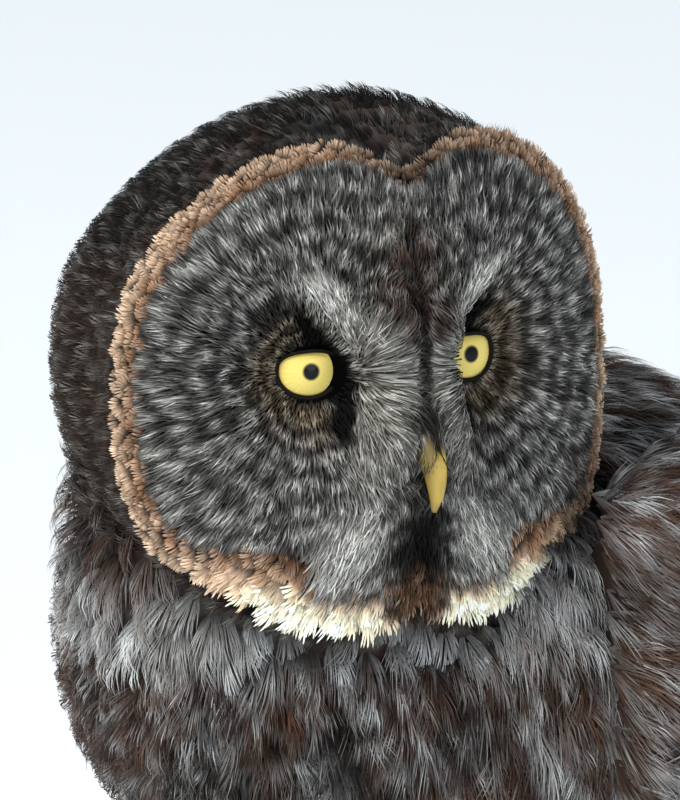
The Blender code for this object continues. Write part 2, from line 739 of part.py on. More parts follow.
def wing_pad(side):
    """The fleshy front of the wing under its feathers: a flat oval swelling along the wing."""
    count = 9
    t = np.linspace(0, 1, count)
    from_widest = (t - 0.55) / np.where(t < 0.55, 0.62, 0.455)
    half = PAD_HALF_WIDTH * np.sqrt(np.clip(1 - from_widest**2, 0.02, 1))
    angle = np.linspace(0, 2 * math.pi, 12, endpoint=False)
    q = half[:, None] * np.cos(angle)[None, :]
    swell = np.sin(angle)[None, :]
    out = 2.0 * smooth((half / PAD_HALF_WIDTH) * 1.6)[:, None]
    lift = np.where(swell > 0, swell * out, swell * PAD_THICK * 2.4) - 1.5
    p = (6.0 + PAD_LENGTH * t)[:, None] + 0 * q
    return ring_solid(wing_point(p, q, lift, side))


def wing_shapes(chance, side):
    shapes = []
    for tier in WING_TIERS:
        count, p_root, tip_low, tip_high, q0, q1, r0, r1, half, sink, rise, rows = tier[1:]
        half = half or VANE_OVERLAP * abs(q1 - q0) / (count - 1)
        for k in range(count):
            t = k / (count - 1)
            tip = tip_low + (tip_high - tip_low) * t + chance.uniform(-2.5, 2.5)
            q_root, q_tip = q0 + (q1 - q0) * t, r0 + (r1 - r0) * t
            shapes.append(wing_vane(side, p_root, tip, q_root, q_tip, half, sink, rise, rows))
    return shapes


# The tail.

def tail_point(u, v, lift):
    """A point of the tail: u along it from the rump, v to the left, lift above it."""
    u, v, lift = np.broadcast_arrays(np.asarray(u, float), np.asarray(v, float), np.asarray(lift, float))
    along = np.array([0.0, math.cos(TAIL_SLOPE), -math.sin(TAIL_SLOPE)])
    up = np.array([0.0, math.sin(TAIL_SLOPE), math.cos(TAIL_SLOPE)])
    sag = -TAIL_SAG * u**2
    return (TAIL_ROOT + along * u[..., None] + up * (lift + sag)[..., None]
            + np.array([1.0, 0.0, 0.0]) * v[..., None])


def tail_vane(start, end, half_width, lift_root, lift_tip, rows):
    t = np.array(VANE_ROWS[rows])[:, None]
    half = half_width * np.array(VANE_WIDTHS[rows])[:, None]
    s = np.array([[-1.0, 1.0]])
    u = start[0] + (end[0] - start[0]) * t - 3.0 * t * np.abs(s)
    v = start[1] + (end[1] - start[1]) * t + s * half
    lift = lift_root + (lift_tip - lift_root) * t + 0 * s
    body = VANE_THICK * (1 - 0.25 * t) + 0 * s
    return sheet_solid(tail_point(u, v, lift + body / 2), tail_point(u, v, lift - body / 2))


def tail_shapes(chance):
    shapes = []
    for k in range(TAIL_FEATHERS):
        i = k - (TAIL_FEATHERS - 1) / 2
        rank = abs(i)
        length = TAIL_LENGTH - 3.2 * rank**1.6
        turn = i * TAIL_FAN
        spread = i * TAIL_ROOT_STEP
        end = (length * math.cos(turn), spread * 1.14 + length * math.sin(turn))
        lift = -TAIL_STEP * rank
        shapes.append(tail_vane((8.0, spread), end, TAIL_HALF_FEATHER, lift * 0.9, lift, 5))
    for count, start, stop, root_step, tip_step, half_width, low, high, fall in TAIL_COVERTS:
        for k in range(count):
            i = k - (count - 1) / 2
            rank = abs(i)
            end = (stop - 4.0 * rank + chance.uniform(-2.0, 2.0), i * tip_step)
            shapes.append(tail_vane((start, i * root_step), end, half_width, low + fall * rank,
                                    high + fall * rank, 4))
    return shapes


def tail_plug():
    u = np.array([-30.0, -8.0, 14.0, 34.0, 48.0])
    line = tail_point(u, 0 * u, np.array([-4.0, -4.0, -4.5, -5.0, -5.2]))
    return ring_solid(tube_rings(line, [20.0, 27.0, 31.0, 30.0, 22.0], [10.0, 11.0, 9.0, 6.0, 2.4], 16))


# Legs, feet and claws.

def mirrored(shape, side):
    points, faces = shape
    if side > 0:
        return points, faces
    return points * np.array([-1.0, 1.0, 1.0]), [face[::-1] for face in faces]


def leg_shape(grow=0.0):
    rows = curve_through(LEG, 7)
    half = rows[:, 3] + grow
    rings = tube_rings(rows[:, :3], half, half * 1.06, 15)
    return ring_solid(rings)


def toe_line(toe, count=5):
    x, y, length = toe[1:]
    way = np.array([x, y]) / math.hypot(x, y)
    t = np.linspace(0, 1, count)
    reach = -4.0 + (length + 4.0) * t
    start = LEG[-1, :2]
    arch = 3.2 * np.sin(t * math.pi) * 0.5
    line = np.stack([start[0] + way[0] * reach, start[1] + way[1] * reach, TOE_HEIGHT - 0.4 * t + arch], 1)
    return line, way


def toe_shape(toe, grow=0.0):
    line, way = toe_line(toe)
    half = round_ends(np.linspace(TOE_HALF, TOE_HALF - 1.4, len(line)), 0.0, 0.22, len(line))
    half = np.maximum(half, 3.6) + grow
    return ring_solid(tube_rings(line, half, half * 0.96, 7, across=(way[1], -way[0], 0.0)))


def ankle_shape():
    """The pad under the ankle and the ankle over it; the floor cuts the pad flat."""
    line = np.array([(LEG[-1, 0], LEG[-1, 1], z) for z in ANKLE[:, 0]])
    return ring_solid(tube_rings(line, ANKLE[:, 1], ANKLE[:, 2], 12))


def claw_shape(toe):
    line, way = toe_line(toe)
    t = np.linspace(0, 1, 4)
    end = line[-1]
    reach = -4.0 + (CLAW_LENGTH * 0.80) * t
    height = end[2] + 1.6 * np.sin(t * math.pi * 0.9) - 4.6 * t**2 + 0.2
    path = np.stack([end[0] + way[0] * reach, end[1] + way[1] * reach, height], 1)
    half = CLAW_HALF * (1 - t**1.3 * 0.86)
    return ring_solid(tube_rings(path, half * 0.86, half, 5, across=(way[1], -way[0], 0.0)))


def build():
    clear_scene()
    chance = np.random.default_rng(COAT_SEED)
    owl = new_collection("great_grey_owl")
    plumage = material("plumage", (0.16, 0.14, 0.12), 0.9)
    made = {}

    head = add_object("head", head_shape(), owl, plumage)
    join(head, ruff_shapes(chance) + brow_shapes(chance) + [lid_ring(p) for p in eye_places()])
    cut(head, [bill_shape(BILL_UPPER, GAP), bill_shape(BILL_LOWER, GAP)]
        + [eye_ball(p, EYE_RADIUS + GAP) for p in eye_places()] + [eye_opening(p) for p in eye_places()])
    eye_finish = material("eye", (0.85, 0.68, 0.12), 0.12)
    for place in eye_places():
        name = "eye_right" if place[0] < 0 else "eye_left"
        add_object(name, eye_ball(place, EYE_RADIUS), owl, eye_finish)

    horn = material("bill", (0.72, 0.56, 0.16), 0.4)
    upper = add_object("bill_upper", bill_shape(BILL_UPPER), owl, horn)
    nostrils = [(head_to_owl(points), faces) for points, faces in
                (ball(NOSTRIL * np.array([side, 1, 1]), NOSTRIL_RADIUS, 5, 8) for side in (-1, 1))]
    cut(upper, nostrils)
    lower = add_object("bill_lower", bill_shape(BILL_LOWER), owl, horn)
    cut(lower, [bill_shape(BILL_UPPER, GAP)])

    torso = add_object("torso", trunk_shape(), owl, plumage)
    halve(torso, NECK_CUT + NECK_CUT_ALONG * GAP / 2, -NECK_CUT_ALONG)
    keep_largest(torso)
    neck = add_object("neck", trunk_shape(), owl, plumage)
    halve(neck, NECK_CUT - NECK_CUT_ALONG * GAP / 2, NECK_CUT_ALONG)
    cut(neck, [head_shape(HEAD_GAP), ruff_room()])

    vanes = material("flight_feathers", (0.13, 0.11, 0.095), 0.8)
    for side, name in ((1, "left"), (-1, "right")):
        wing = add_object("wing_" + name, wing_pad(side), owl, vanes)
        join(wing, wing_shapes(chance, side))
        cut(wing, [trunk_shape(GAP), head_shape(HEAD_GAP), ruff_room()])
    tail = add_object("tail", tail_plug(), owl, vanes)
    join(tail, tail_shapes(chance))
    cut(tail, [trunk_shape(GAP)])

    horn_dark = material("claw", (0.05, 0.045, 0.04), 0.35)
    for side, name in ((1, "left"), (-1, "right")):
        leg = add_object("leg_" + name, mirrored(leg_shape(), side), owl, plumage)
        halve(leg, np.array([0.0, 0.0, ANKLE_HEIGHT + GAP]), np.array([0.0, 0.0, -1.0]))
        cut(leg, [trunk_shape(GAP)])
        foot = add_object("foot_" + name, mirrored(ankle_shape(), side), owl, plumage)
        join(foot, [mirrored(toe_shape(toe), side) for toe in TOES])
        halve(foot, np.array([0.0, 0.0, 0.0]), np.array([0.0, 0.0, -1.0]))
        for toe in TOES:
            claw = add_object(f"claw_{name}_{toe[0]}", mirrored(claw_shape(toe), side), owl, horn_dark)
            cut(claw, [mirrored(toe_shape(toe, GAP), side)])
    for obj in owl.objects:
        shade(obj, 40)


build()
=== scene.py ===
import bpy
import numpy as np
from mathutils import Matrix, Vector
from mathutils.bvhtree import BVHTree


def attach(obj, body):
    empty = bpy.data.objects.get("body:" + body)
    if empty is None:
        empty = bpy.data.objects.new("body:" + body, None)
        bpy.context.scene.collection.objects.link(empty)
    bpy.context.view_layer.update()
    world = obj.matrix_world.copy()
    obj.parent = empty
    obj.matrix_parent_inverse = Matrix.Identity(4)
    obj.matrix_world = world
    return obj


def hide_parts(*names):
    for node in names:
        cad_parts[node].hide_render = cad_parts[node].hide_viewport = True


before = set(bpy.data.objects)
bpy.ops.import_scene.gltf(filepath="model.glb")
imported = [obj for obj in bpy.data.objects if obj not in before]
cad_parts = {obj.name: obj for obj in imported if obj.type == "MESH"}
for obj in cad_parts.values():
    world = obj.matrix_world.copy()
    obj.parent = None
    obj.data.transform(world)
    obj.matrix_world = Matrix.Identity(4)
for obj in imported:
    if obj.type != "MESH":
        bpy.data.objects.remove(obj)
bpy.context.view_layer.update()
print("frame loaded:", len(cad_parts), "nodes")

# The shapes below are worked out in millimetres and moved to metres when a mesh is made.
mm = 0.001
middle = np.array([0.0, 105.0, 0.0])  # the middle of the owl's box on the floor
patch = 0.003  # size of a tuft's patch on the OFBake map


# helpers on arrays

def smooth(x):  # 0 below 0, 1 above 1, an S between
    x = np.clip(x, 0.0, 1.0)
    return x * x * (3.0 - 2.0 * x)


def mix(a, b, share):  # from a to b by a share, for colours in the last axis
    share = np.asarray(share)[..., None]
    return np.asarray(a) * (1 - share) + np.asarray(b) * share


def unit(v):
    return v / np.maximum(np.linalg.norm(v, axis=-1, keepdims=True), 1e-9)


def curveThrough(rows, t):  # a smooth curve through rows (Catmull-Rom), t from 0 to 1
    rows = np.asarray(rows, float)
    padded = np.vstack([2 * rows[0] - rows[1], rows, 2 * rows[-1] - rows[-2]])
    t = np.clip(t, 0, 1) * (len(rows) - 1)
    i = np.minimum(t.astype(int), len(rows) - 2)
    f = (t - i)[..., None]
    p0, p1, p2, p3 = padded[i], padded[i + 1], padded[i + 2], padded[i + 3]
    return 0.5 * (2 * p1 + (p2 - p0) * f + (2 * p0 - 5 * p1 + 4 * p2 - p3) * f**2
                  + (3 * p1 - p0 - 3 * p2 + p3) * f**3)


def turnZ(degrees):
    c, s = np.cos(np.radians(degrees)), np.sin(np.radians(degrees))
    return np.array([[c, -s, 0], [s, c, 0], [0, 0, 1]])


def turnX(degrees):
    c, s = np.cos(np.radians(degrees)), np.sin(np.radians(degrees))
    return np.array([[1, 0, 0], [0, c, -s], [0, s, c]])


def waves(points, size, seed, count=14):  # soft random waves, about -1 to 1, of that size
    draw = np.random.default_rng(seed)
    points = np.asarray(points, float)
    ways = unit(draw.normal(size=(count, points.shape[-1]))) * draw.uniform(0.6, 1.5, (count, 1))
    shift = draw.uniform(0, 2 * np.pi, count)
    return np.sin(points @ ways.T * (2 * np.pi / size) + shift).sum(-1) / (0.7 * count) ** 0.5 / 1.2


def tone(red, green, blue):  # a colour given as 0 to 255 on the screen, made linear
    c = np.array([red, green, blue]) / 255.0
    return np.where(c <= 0.04045, c / 12.92, ((c + 0.055) / 1.055) ** 2.4)


# meshes

def keepMarking(mesh, colour):  # a colour for each point
    store = mesh.color_attributes.new(name="marking", type="FLOAT_COLOR", domain="POINT")
    store.data.foreach_set("color", np.c_[colour, np.ones(len(colour))].astype(np.float32).ravel())


# points (n, 3) in millimetres; faces a list of (m, 3) or (m, 4) index arrays.
def arrayMesh(name, points, faces, finish, uv=None, colour=None, barbLines=None):
    mesh = bpy.data.meshes.new(name)
    corners = np.concatenate([f.ravel() for f in faces]).astype(np.int32)
    total = np.concatenate([np.full(len(f), f.shape[1]) for f in faces]).astype(np.int32)
    start = np.concatenate([[0], np.cumsum(total)[:-1]]).astype(np.int32)
    mesh.vertices.add(len(points))
    mesh.vertices.foreach_set("co", ((points - middle) * mm).astype(np.float32).ravel())
    mesh.loops.add(len(corners))
    mesh.loops.foreach_set("vertex_index", corners)
    mesh.polygons.add(len(total))
    mesh.polygons.foreach_set("loop_start", start)
    mesh.polygons.foreach_set("loop_total", total)
    mesh.polygons.foreach_set("use_smooth", np.ones(len(total), bool))
    mesh.update(calc_edges=True)
    for title, values in (("OFBake", uv), ("barbLines", barbLines)):
        if values is not None:
            layer = mesh.uv_layers.new(name=title)
            layer.data.foreach_set("uv", values[corners].astype(np.float32).ravel())
    if colour is not None:
        keepMarking(mesh, colour)
    mesh.materials.append(finish)
    piece = bpy.data.objects.new(name, mesh)
    bpy.context.scene.collection.objects.link(piece)
    return piece


def loopQuads(rows, sides, total):  # quads from each closed row of points to the next, of total points
    i, j = np.meshgrid(np.arange(rows) * sides, np.arange(sides), indexing="ij")
    k = (j + 1) % sides
    ahead = (i + sides) % total
    return np.stack([i + j, i + k, ahead + k, ahead + j], -1).reshape(-1, 4)


# A closed surface over rings of points, its end rings gathered at their middles. Its faces are turned
# outwards by the sign of its volume, the sum of a . (b x c) over its triangles.
def ringGrid(rings):
    count, sides = rings.shape[:2]
    total = count * sides
    points = np.concatenate([rings.reshape(-1, 3), rings[:1].mean(1), rings[-1:].mean(1)])
    quads = loopQuads(count - 1, sides, total)
    j = np.arange(sides)
    k = (j + 1) % sides
    first = np.stack([np.full(sides, total), k, j], -1)
    last = np.stack([np.full(sides, total + 1), total - sides + j, total - sides + k], -1)
    tris = np.concatenate([first, last])
    a, b, c = points[np.concatenate([tris, quads[:, :3], quads[:, [0, 2, 3]]])].swapaxes(0, 1)
    if (a * np.cross(b, c)).sum() < 0:
        quads, tris = quads[:, ::-1], tris[:, ::-1]
    return points, [quads, tris]


def joinParts(parts):  # several (points, faces) as one
    points, quads, tris, base = [], [], [], 0
    for made, faces in parts:
        points.append(made)
        for f in faces:
            (quads if f.shape[1] == 4 else tris).append(f + base)
        base += len(made)
    return np.concatenate(points), [np.concatenate(f) for f in (quads, tris) if f]


def tubeRings(line, wide, high, sides, across=(1.0, 0.0, 0.0)):
    line = np.asarray(line, float)
    along = unit(np.gradient(line, axis=0))
    across = np.asarray(across, float)
    side = unit(across - (along @ across)[:, None] * along)
    up = np.cross(along, side)
    angle = np.linspace(0, 2 * np.pi, sides, endpoint=False)
    return (line[:, None] + side[:, None] * (np.cos(angle)[None, :, None] * np.asarray(wide)[:, None, None])
            + up[:, None] * (np.sin(angle)[None, :, None] * np.asarray(high)[:, None, None]))


# materials

def newGroup(name, inputs, outputs):
    group = bpy.data.node_groups.new(name, "ShaderNodeTree")
    for title, kind, value in inputs:
        socket = group.interface.new_socket(title, in_out="INPUT", socket_type=kind)
        socket.default_value = value
    for title, kind in outputs:
        group.interface.new_socket(title, in_out="OUTPUT", socket_type=kind)
    return group, group.nodes.new("NodeGroupInput"), group.nodes.new("NodeGroupOutput")


def addNode(tree, kind, operation=None, values=()):  # values: pairs of an input and its value
    node = tree.nodes.new("ShaderNode" + kind)
    if operation:
        node.operation = operation
    for title, value in values:
        node.inputs[title].default_value = value
    return node


def makeGrainGroup():  # lightens and darkens a colour in fine grain, and gives the grain as a height
    group, into, out = newGroup("grain", [
        ("Color", "NodeSocketColor", (0.5, 0.5, 0.5, 1)), ("Scale", "NodeSocketFloat", 400.0),
        ("Amount", "NodeSocketFloat", 0.3)], [("Color", "NodeSocketColor"), ("Height", "NodeSocketFloat")])
    place = addNode(group, "TexCoord")
    noise = addNode(group, "TexNoise", None, [("Detail", 3.0)])
    centred = addNode(group, "Math", "SUBTRACT", [(1, 0.5)])
    scaled = addNode(group, "Math", "MULTIPLY_ADD", [(2, 1.0)])
    tint = addNode(group, "VectorMath", "SCALE")
    link = group.links.new
    link(place.outputs["Object"], noise.inputs["Vector"])
    link(into.outputs["Scale"], noise.inputs["Scale"])
    link(noise.outputs["Fac"], centred.inputs[0])
    link(centred.outputs[0], scaled.inputs[0])
    link(into.outputs["Amount"], scaled.inputs[1])
    link(into.outputs["Color"], tint.inputs[0])
    link(scaled.outputs[0], tint.inputs["Scale"])
    link(tint.outputs[0], out.inputs["Color"])
    link(noise.outputs["Fac"], out.inputs["Height"])
    return group


grainGroup = makeGrainGroup()


def newMaterial(name, roughness, **sockets):
    made = bpy.data.materials.new(name)
    made.use_nodes = True
    shader = made.node_tree.nodes["Principled BSDF"]
    shader.inputs["Roughness"].default_value = roughness
    for title, value in sockets.items():
        shader.inputs[title.replace("_", " ")].default_value = value
    return made, shader


def readMarking(tree):  # the colours kept on the mesh
    marking = addNode(tree, "Attribute")
    marking.attribute_name = "marking"
    return marking.outputs["Color"]


# The markings kept on the mesh, or one colour, with grain over them.
def grainMaterial(name, roughness, scale, amount, bump=0.0, colour=None, **sockets):
    made, shader = newMaterial(name, roughness, **sockets)
    tree = made.node_tree
    link = tree.links.new
    grain = addNode(tree, "Group")
    grain.node_tree = grainGroup
    grain.inputs["Scale"].default_value = scale
    grain.inputs["Amount"].default_value = amount
    if colour:
        grain.inputs["Color"].default_value = colour
    else:
        link(readMarking(tree), grain.inputs["Color"])
    link(grain.outputs["Color"], shader.inputs["Base Color"])
    if bump:
        relief = addNode(tree, "Bump", None, [("Strength", bump), ("Distance", 0.0006)])
        link(grain.outputs["Height"], relief.inputs["Height"])
        link(relief.outputs["Normal"], shader.inputs["Normal"])
    return made


coatFinish = grainMaterial("body_feather", 0.8, 900.0, 0.5, Specular_IOR_Level=0.12)
skinFinish = grainMaterial("down_underlay", 0.95, 500.0, 0.9, 0.6, Specular_IOR_Level=0.05)


# The markings, with fine barb lines from the piece's second map (along the barbs, across the vane).
def makeVaneMaterial(name, roughness, gloss, contrast, height):
    made, shader = newMaterial(name, roughness, Specular_IOR_Level=gloss)
    tree = made.node_tree
    link = tree.links.new
    lines = addNode(tree, "UVMap")
    lines.uv_map = "barbLines"
    noise = addNode(tree, "TexNoise", None, [("Scale", 1.0), ("Detail", 2.0)])
    shade = addNode(tree, "Math", "MULTIPLY_ADD", [(1, contrast), (2, 1.0 - 0.5 * contrast)])
    tint = addNode(tree, "VectorMath", "SCALE")
    relief = addNode(tree, "Bump", None, [("Strength", 0.35), ("Distance", height)])
    link(lines.outputs["UV"], noise.inputs["Vector"])
    link(noise.outputs["Fac"], shade.inputs[0])
    link(readMarking(tree), tint.inputs[0])
    link(shade.outputs[0], tint.inputs["Scale"])
    link(tint.outputs[0], shader.inputs["Base Color"])
    link(noise.outputs["Fac"], relief.inputs["Height"])
    link(relief.outputs["Normal"], shader.inputs["Normal"])
    return made


flightFinish = makeVaneMaterial("flight_feather", 0.62, 0.25, 1.3, 0.0004)
print("materials ready")

# the head and its face

head = {"centre": (10.0, -98.0, 291.0), "yaw": 58.8, "pitch": -3.0,
        "halfWidth": 89.0, "back": 82.0, "halfHeight": 80.0}
disc = {"halfWidth": 84.0, "halfHeight": 76.0, "square": 2.4, "drop": 7.0, "ahead": 42.0, "sweep": 34.0,
        "lean": 7.0, "dish": 12.0, "dishSpread": 16.0, "ridge": 4.0, "ridgeWidth": 10.0,
        "loreHeight": 6.5, "loreOut": 9.0, "loreWidth": 5.0,
        "browNotch": 12.0, "chinNotch": 7.0, "notchWidth": 15.0, "inset": 2.6}
headCentre = np.array(head["centre"])
headTurn = turnZ(head["yaw"]) @ turnX(head["pitch"])
eyes = {"radius": 12.0, "out": 25.3, "front": 28.5, "turn": {1: 4.0, -1: 13.0}, "pupil": 2.5, "iris": 9.3,
        "wide": 9.5, "above": 6.0, "below": 7.7, "flatTop": 0.72}


def headToOwl(points):  # from the head's frame, x to its left, y back, z up
    return np.asarray(points, float) @ headTurn.T + headCentre


def discOutline(angle):  # x and z of the disc's edge about its middle: a squared oval with two notches
    c, s = np.cos(angle), np.sin(angle)
    x = disc["halfWidth"] * np.sign(c) * np.abs(c) ** (2 / disc["square"])
    z = disc["halfHeight"] * np.sign(s) * np.abs(s) ** (2 / disc["square"])
    near = np.exp(-(x / disc["notchWidth"]) ** 2)
    return x, z - disc["browNotch"] * near * (s > 0) + disc["chinNotch"] * near * (s < 0)


def faceDepth(x, z):  # y of the face: a dome, less a dish round each eye, plus ridge and lores between
    dome = disc["ahead"] - disc["sweep"] * (x / disc["halfWidth"]) ** 2
    dome = dome - disc["lean"] * ((z + disc["drop"]) / disc["halfHeight"]) ** 2
    around = (np.abs(x) - eyes["out"] - 3.5) ** 2 + (z + 1.0) ** 2
    dish = disc["dish"] * np.exp(-around / (2 * disc["dishSpread"] ** 2))
    ridge = disc["ridge"] * np.exp(-(x / disc["ridgeWidth"]) ** 2)
    ridge = ridge * smooth((z + 55) / 20) * smooth((45 - z) / 40)
    lores = disc["loreHeight"] * np.exp(-((np.abs(x) - disc["loreOut"]) / disc["loreWidth"]) ** 2)
    lores = lores * smooth((z + 34) / 14) * smooth((28 - z) / 16)
    return -(dome - dish + ridge + lores)


def faceNormal(x, z):
    slopeX = (faceDepth(x + 1, z) - faceDepth(x - 1, z)) / 2
    slopeZ = (faceDepth(x, z + 1) - faceDepth(x, z - 1)) / 2
    return unit(np.stack([slopeX, -np.ones_like(slopeX), slopeZ], -1))


def crownPoint(angle, w):  # from the disc's rim (w 0) over the skull to its back (w 1)
    x, z = discOutline(angle)
    z = z - disc["drop"]
    rim = faceDepth(x, z)
    reach = np.hypot(x, z)
    full = 1 / np.hypot(x / reach / head["halfWidth"], z / reach / head["halfHeight"])
    y = rim + (head["back"] - rim) * np.sin(w * np.pi / 2) * 0.999
    part = smooth(w / 0.2)
    r = reach * (1 - part) + full * np.sqrt(np.clip(1 - (y / head["back"]) ** 2, 0, 1)) * part
    return np.stack([x / reach * r, y, z / reach * r], -1)


# Point, way along growing v and outward normal of a surface of two parameters.
def surfaceFrame(surface, u, v, step=0.004):
    point = surface(u, v)
    alongV = unit(surface(u, v + step) - surface(u, v - step))
    alongU = unit(surface(u + step, v) - surface(u - step, v))
    return point, alongV, unit(np.cross(alongU, alongV))


# the trunk

trunk = np.array([  # x, y, z, half width, depth to the back and front, turn and slope in degrees
    (-7, -86, 308, 34, 32, 26, 58.8, 86), (-7, -88, 282, 66, 54, 42, 58.8, 83),
    (-6, -87, 256, 79, 64, 50, 57, 76), (-6, -81, 231, 82.5, 71, 56, 50, 66),
    (-6, -64, 209, 92, 90, 73, 34, 53), (-3, -34, 194, 103, 105, 91, 15, 42),
    (0, 4, 181, 105, 104, 94, 3, 34), (0, 46, 163, 99, 99, 92, 0, 30),
    (0, 88, 140, 87, 86, 80, 0, 31), (0, 126, 114, 64, 58, 58, 0, 34),
    (0, 155, 95, 38, 32, 34, 0, 36), (0, 170, 86, 14, 12, 13, 0, 38)], float)
trunkSquare = 2.3


def trunkPoint(angle, s, grow=0.0):  # squared ovals along the trunk; angle 90 degrees is its back
    rows = curveThrough(trunk, np.asarray(s, float))
    slope, turn = np.radians(rows[..., 7]), np.radians(rows[..., 6])
    back = np.stack([0 * slope, np.sin(slope), np.cos(slope)], -1)
    left = np.array([1.0, 0.0, 0.0]) + 0 * back
    c, n = np.cos(turn)[..., None], np.sin(turn)[..., None]
    left, back = left * c + back * n, back * c - left * n
    ca, sa = np.cos(angle), np.sin(angle)
    wide = np.sign(ca) * np.abs(ca) ** (2 / trunkSquare)
    deep = np.sign(sa) * np.abs(sa) ** (2 / trunkSquare)
    depth = np.where(deep > 0, rows[..., 4], rows[..., 5]) + grow
    half = rows[..., 3] + grow
    return rows[..., :3] + left * (half * wide)[..., None] + back * (depth * deep)[..., None]


# legs and toes of the left side; the right is their mirror

leg = np.array([  # x, y, z and half width
    (40, 30, 98, 37), (42, 22, 70, 32), (44, 14, 46, 22), (45, 10, 28, 16.5), (45, 8, 19, 15)], float)
toes = {"inner": (-0.34, -0.94, 40.0), "middle": (0.14, -0.99, 44.0), "outer": (0.90, -0.44, 38.0),
        "hind": (-0.22, 0.97, 30.0)}
toeHalf, toeHeight = 8.2, 7.2


def toeLine(toe, count):
    x, y, length = toes[toe]
    way = np.array([x, y]) / np.hypot(x, y)
    t = np.linspace(0, 1, count)
    reach = -4.0 + (length + 4.0) * t
    line = np.stack([leg[-1, 0] + way[0] * reach, leg[-1, 1] + way[1] * reach,
                     toeHeight - 0.4 * t + 1.6 * np.sin(t * np.pi)], 1)
    return line, way


def toeRings(toe, grow, count=12, sides=14):
    line, way = toeLine(toe, count)
    t = np.linspace(0, 1, count)
    end = np.sqrt(np.clip(1 - (1 - np.clip((1 - t) / 0.22, 0, 1)) ** 2, 0.05, 1))
    half = np.maximum((toeHalf - 1.4 * t) * end, 2.4) + grow
    return tubeRings(line, half, half * 0.96, sides, across=(way[1], -way[0], 0.0))


# the skin under the coat: one surface over head, trunk, legs and feet

skinValues = {"voxel": 0.0025, "crownInset": 5.0, "trunkInset": 8.0, "legInset": 6.0, "toeInset": 1.6,
              "ankleHeights": (4.0, 9.0, 16.0, 30.0), "ankleHalf": (10.5, 12.5, 13.1, 12.5)}


def makeSkin():
    angle = np.linspace(0, 2 * np.pi, 96, endpoint=False)
    rings = []
    for share in np.linspace(0.03, 0.97, 22):
        x, z = discOutline(angle)
        x, z = x * share, z * share - disc["drop"]
        rings.append(np.stack([x, faceDepth(x, z) + disc["inset"], z], -1))
    for w in np.linspace(0.03, 1.0, 24):
        p = crownPoint(angle, np.full_like(angle, w))
        inset = disc["inset"] + (skinValues["crownInset"] - disc["inset"]) * smooth(w * 4)
        rings.append(p * (1 - inset / head["halfHeight"]))
    parts = [ringGrid(headToOwl(np.array(rings)))]
    s = np.linspace(0.0, 1.0, 60)
    angle = np.linspace(0, 2 * np.pi, 80, endpoint=False)
    parts.append(ringGrid(trunkPoint(angle[None, :] + 0 * s[:, None], s[:, None] + 0 * angle[None, :],
                                     -skinValues["trunkInset"])))
    rows = curveThrough(leg, np.linspace(0, 1, 24))
    half = rows[:, 3] - skinValues["legInset"] * np.linspace(1, 0.4, 24)
    for side in (1.0, -1.0):
        flip = np.array([side, 1.0, 1.0])
        parts.append(ringGrid(tubeRings(rows[:, :3], half, half * 1.06, 32) * flip))
        line = np.array([(leg[-1, 0], leg[-1, 1], z) for z in skinValues["ankleHeights"]])
        wide = np.array(skinValues["ankleHalf"])
        parts.append(ringGrid(tubeRings(line, wide, wide * 1.06, 24) * flip))
        for toe in toes:
            parts.append(ringGrid(toeRings(toe, -skinValues["toeInset"]) * flip))
    points, faces = joinParts(parts)
    skin = arrayMesh("skin", points, faces, skinFinish)
    remesh = skin.modifiers.new("one surface", "REMESH")
    remesh.mode = "VOXEL"
    remesh.voxel_size = skinValues["voxel"]
    soften = skin.modifiers.new("soften", "SMOOTH")
    soften.iterations = 6
    soften.factor = 0.5
    made = bpy.data.meshes.new_from_object(skin.evaluated_get(bpy.context.evaluated_depsgraph_get()))
    skin.modifiers.clear()
    skin.data = made
    made.materials.clear()
    made.materials.append(skinFinish)
    made.shade_smooth()
    return skin


skin = makeSkin()
skinPoints = np.empty(len(skin.data.vertices) * 3, np.float32)
skin.data.vertices.foreach_get("co", skinPoints)
skinPoints = skinPoints.reshape(-1, 3) / mm + middle
skinNormals = np.empty(len(skinPoints) * 3, np.float32)
skin.data.vertices.foreach_get("normal", skinNormals)
skinNormals = skinNormals.reshape(-1, 3)
skin.data.calc_loop_triangles()
triangles = np.empty(len(skin.data.loop_triangles) * 3, np.int32)
skin.data.loop_triangles.foreach_get("vertices", triangles)
triangles = triangles.reshape(-1, 3)
skinTree = BVHTree.FromPolygons(skinPoints.tolist(), triangles.tolist())
print("skin:", len(triangles), "triangles")


# Nearest point and normal of the skin, and which points lie within that distance of it.
def onSkin(points, within):
    found = [skinTree.find_nearest(Vector(p)) for p in points]
    near = np.array([f[0] for f in found])
    normal = np.array([f[1] for f in found])
    return near, unit(normal), np.array([f[3] for f in found]) < within


# markings, as colours by place

face = {"ringStep": 7.2, "pitAway": 1.85,
        # the crescents: heights in the head's frame, and their middle line and half width there
        "crescentLine": ([-30, -23, -13, -6, 3, 16, 27, 34], [14.0, 10.5, 7.4, 6.6, 9.0, 19.5, 28.5, 33.0]),
        "crescentHalf": ([-30, -23, -13, -6, 3, 16, 27, 34], [7.0, 6.4, 6.2, 6.2, 5.8, 6.2, 6.4, 5.0])}

palette = {
    "black": tone(14, 12, 11), "soot": tone(30, 26, 24), "umber": tone(58, 44, 36),
    "brown": tone(92, 68, 54), "grey": tone(120, 114, 106), "ash": tone(168, 166, 160),
    "pale": tone(214, 212, 204), "cream": tone(246, 236, 206), "tan": tone(200, 170, 142),
    "rust": tone(148, 108, 80), "olive": tone(120, 102, 74)}


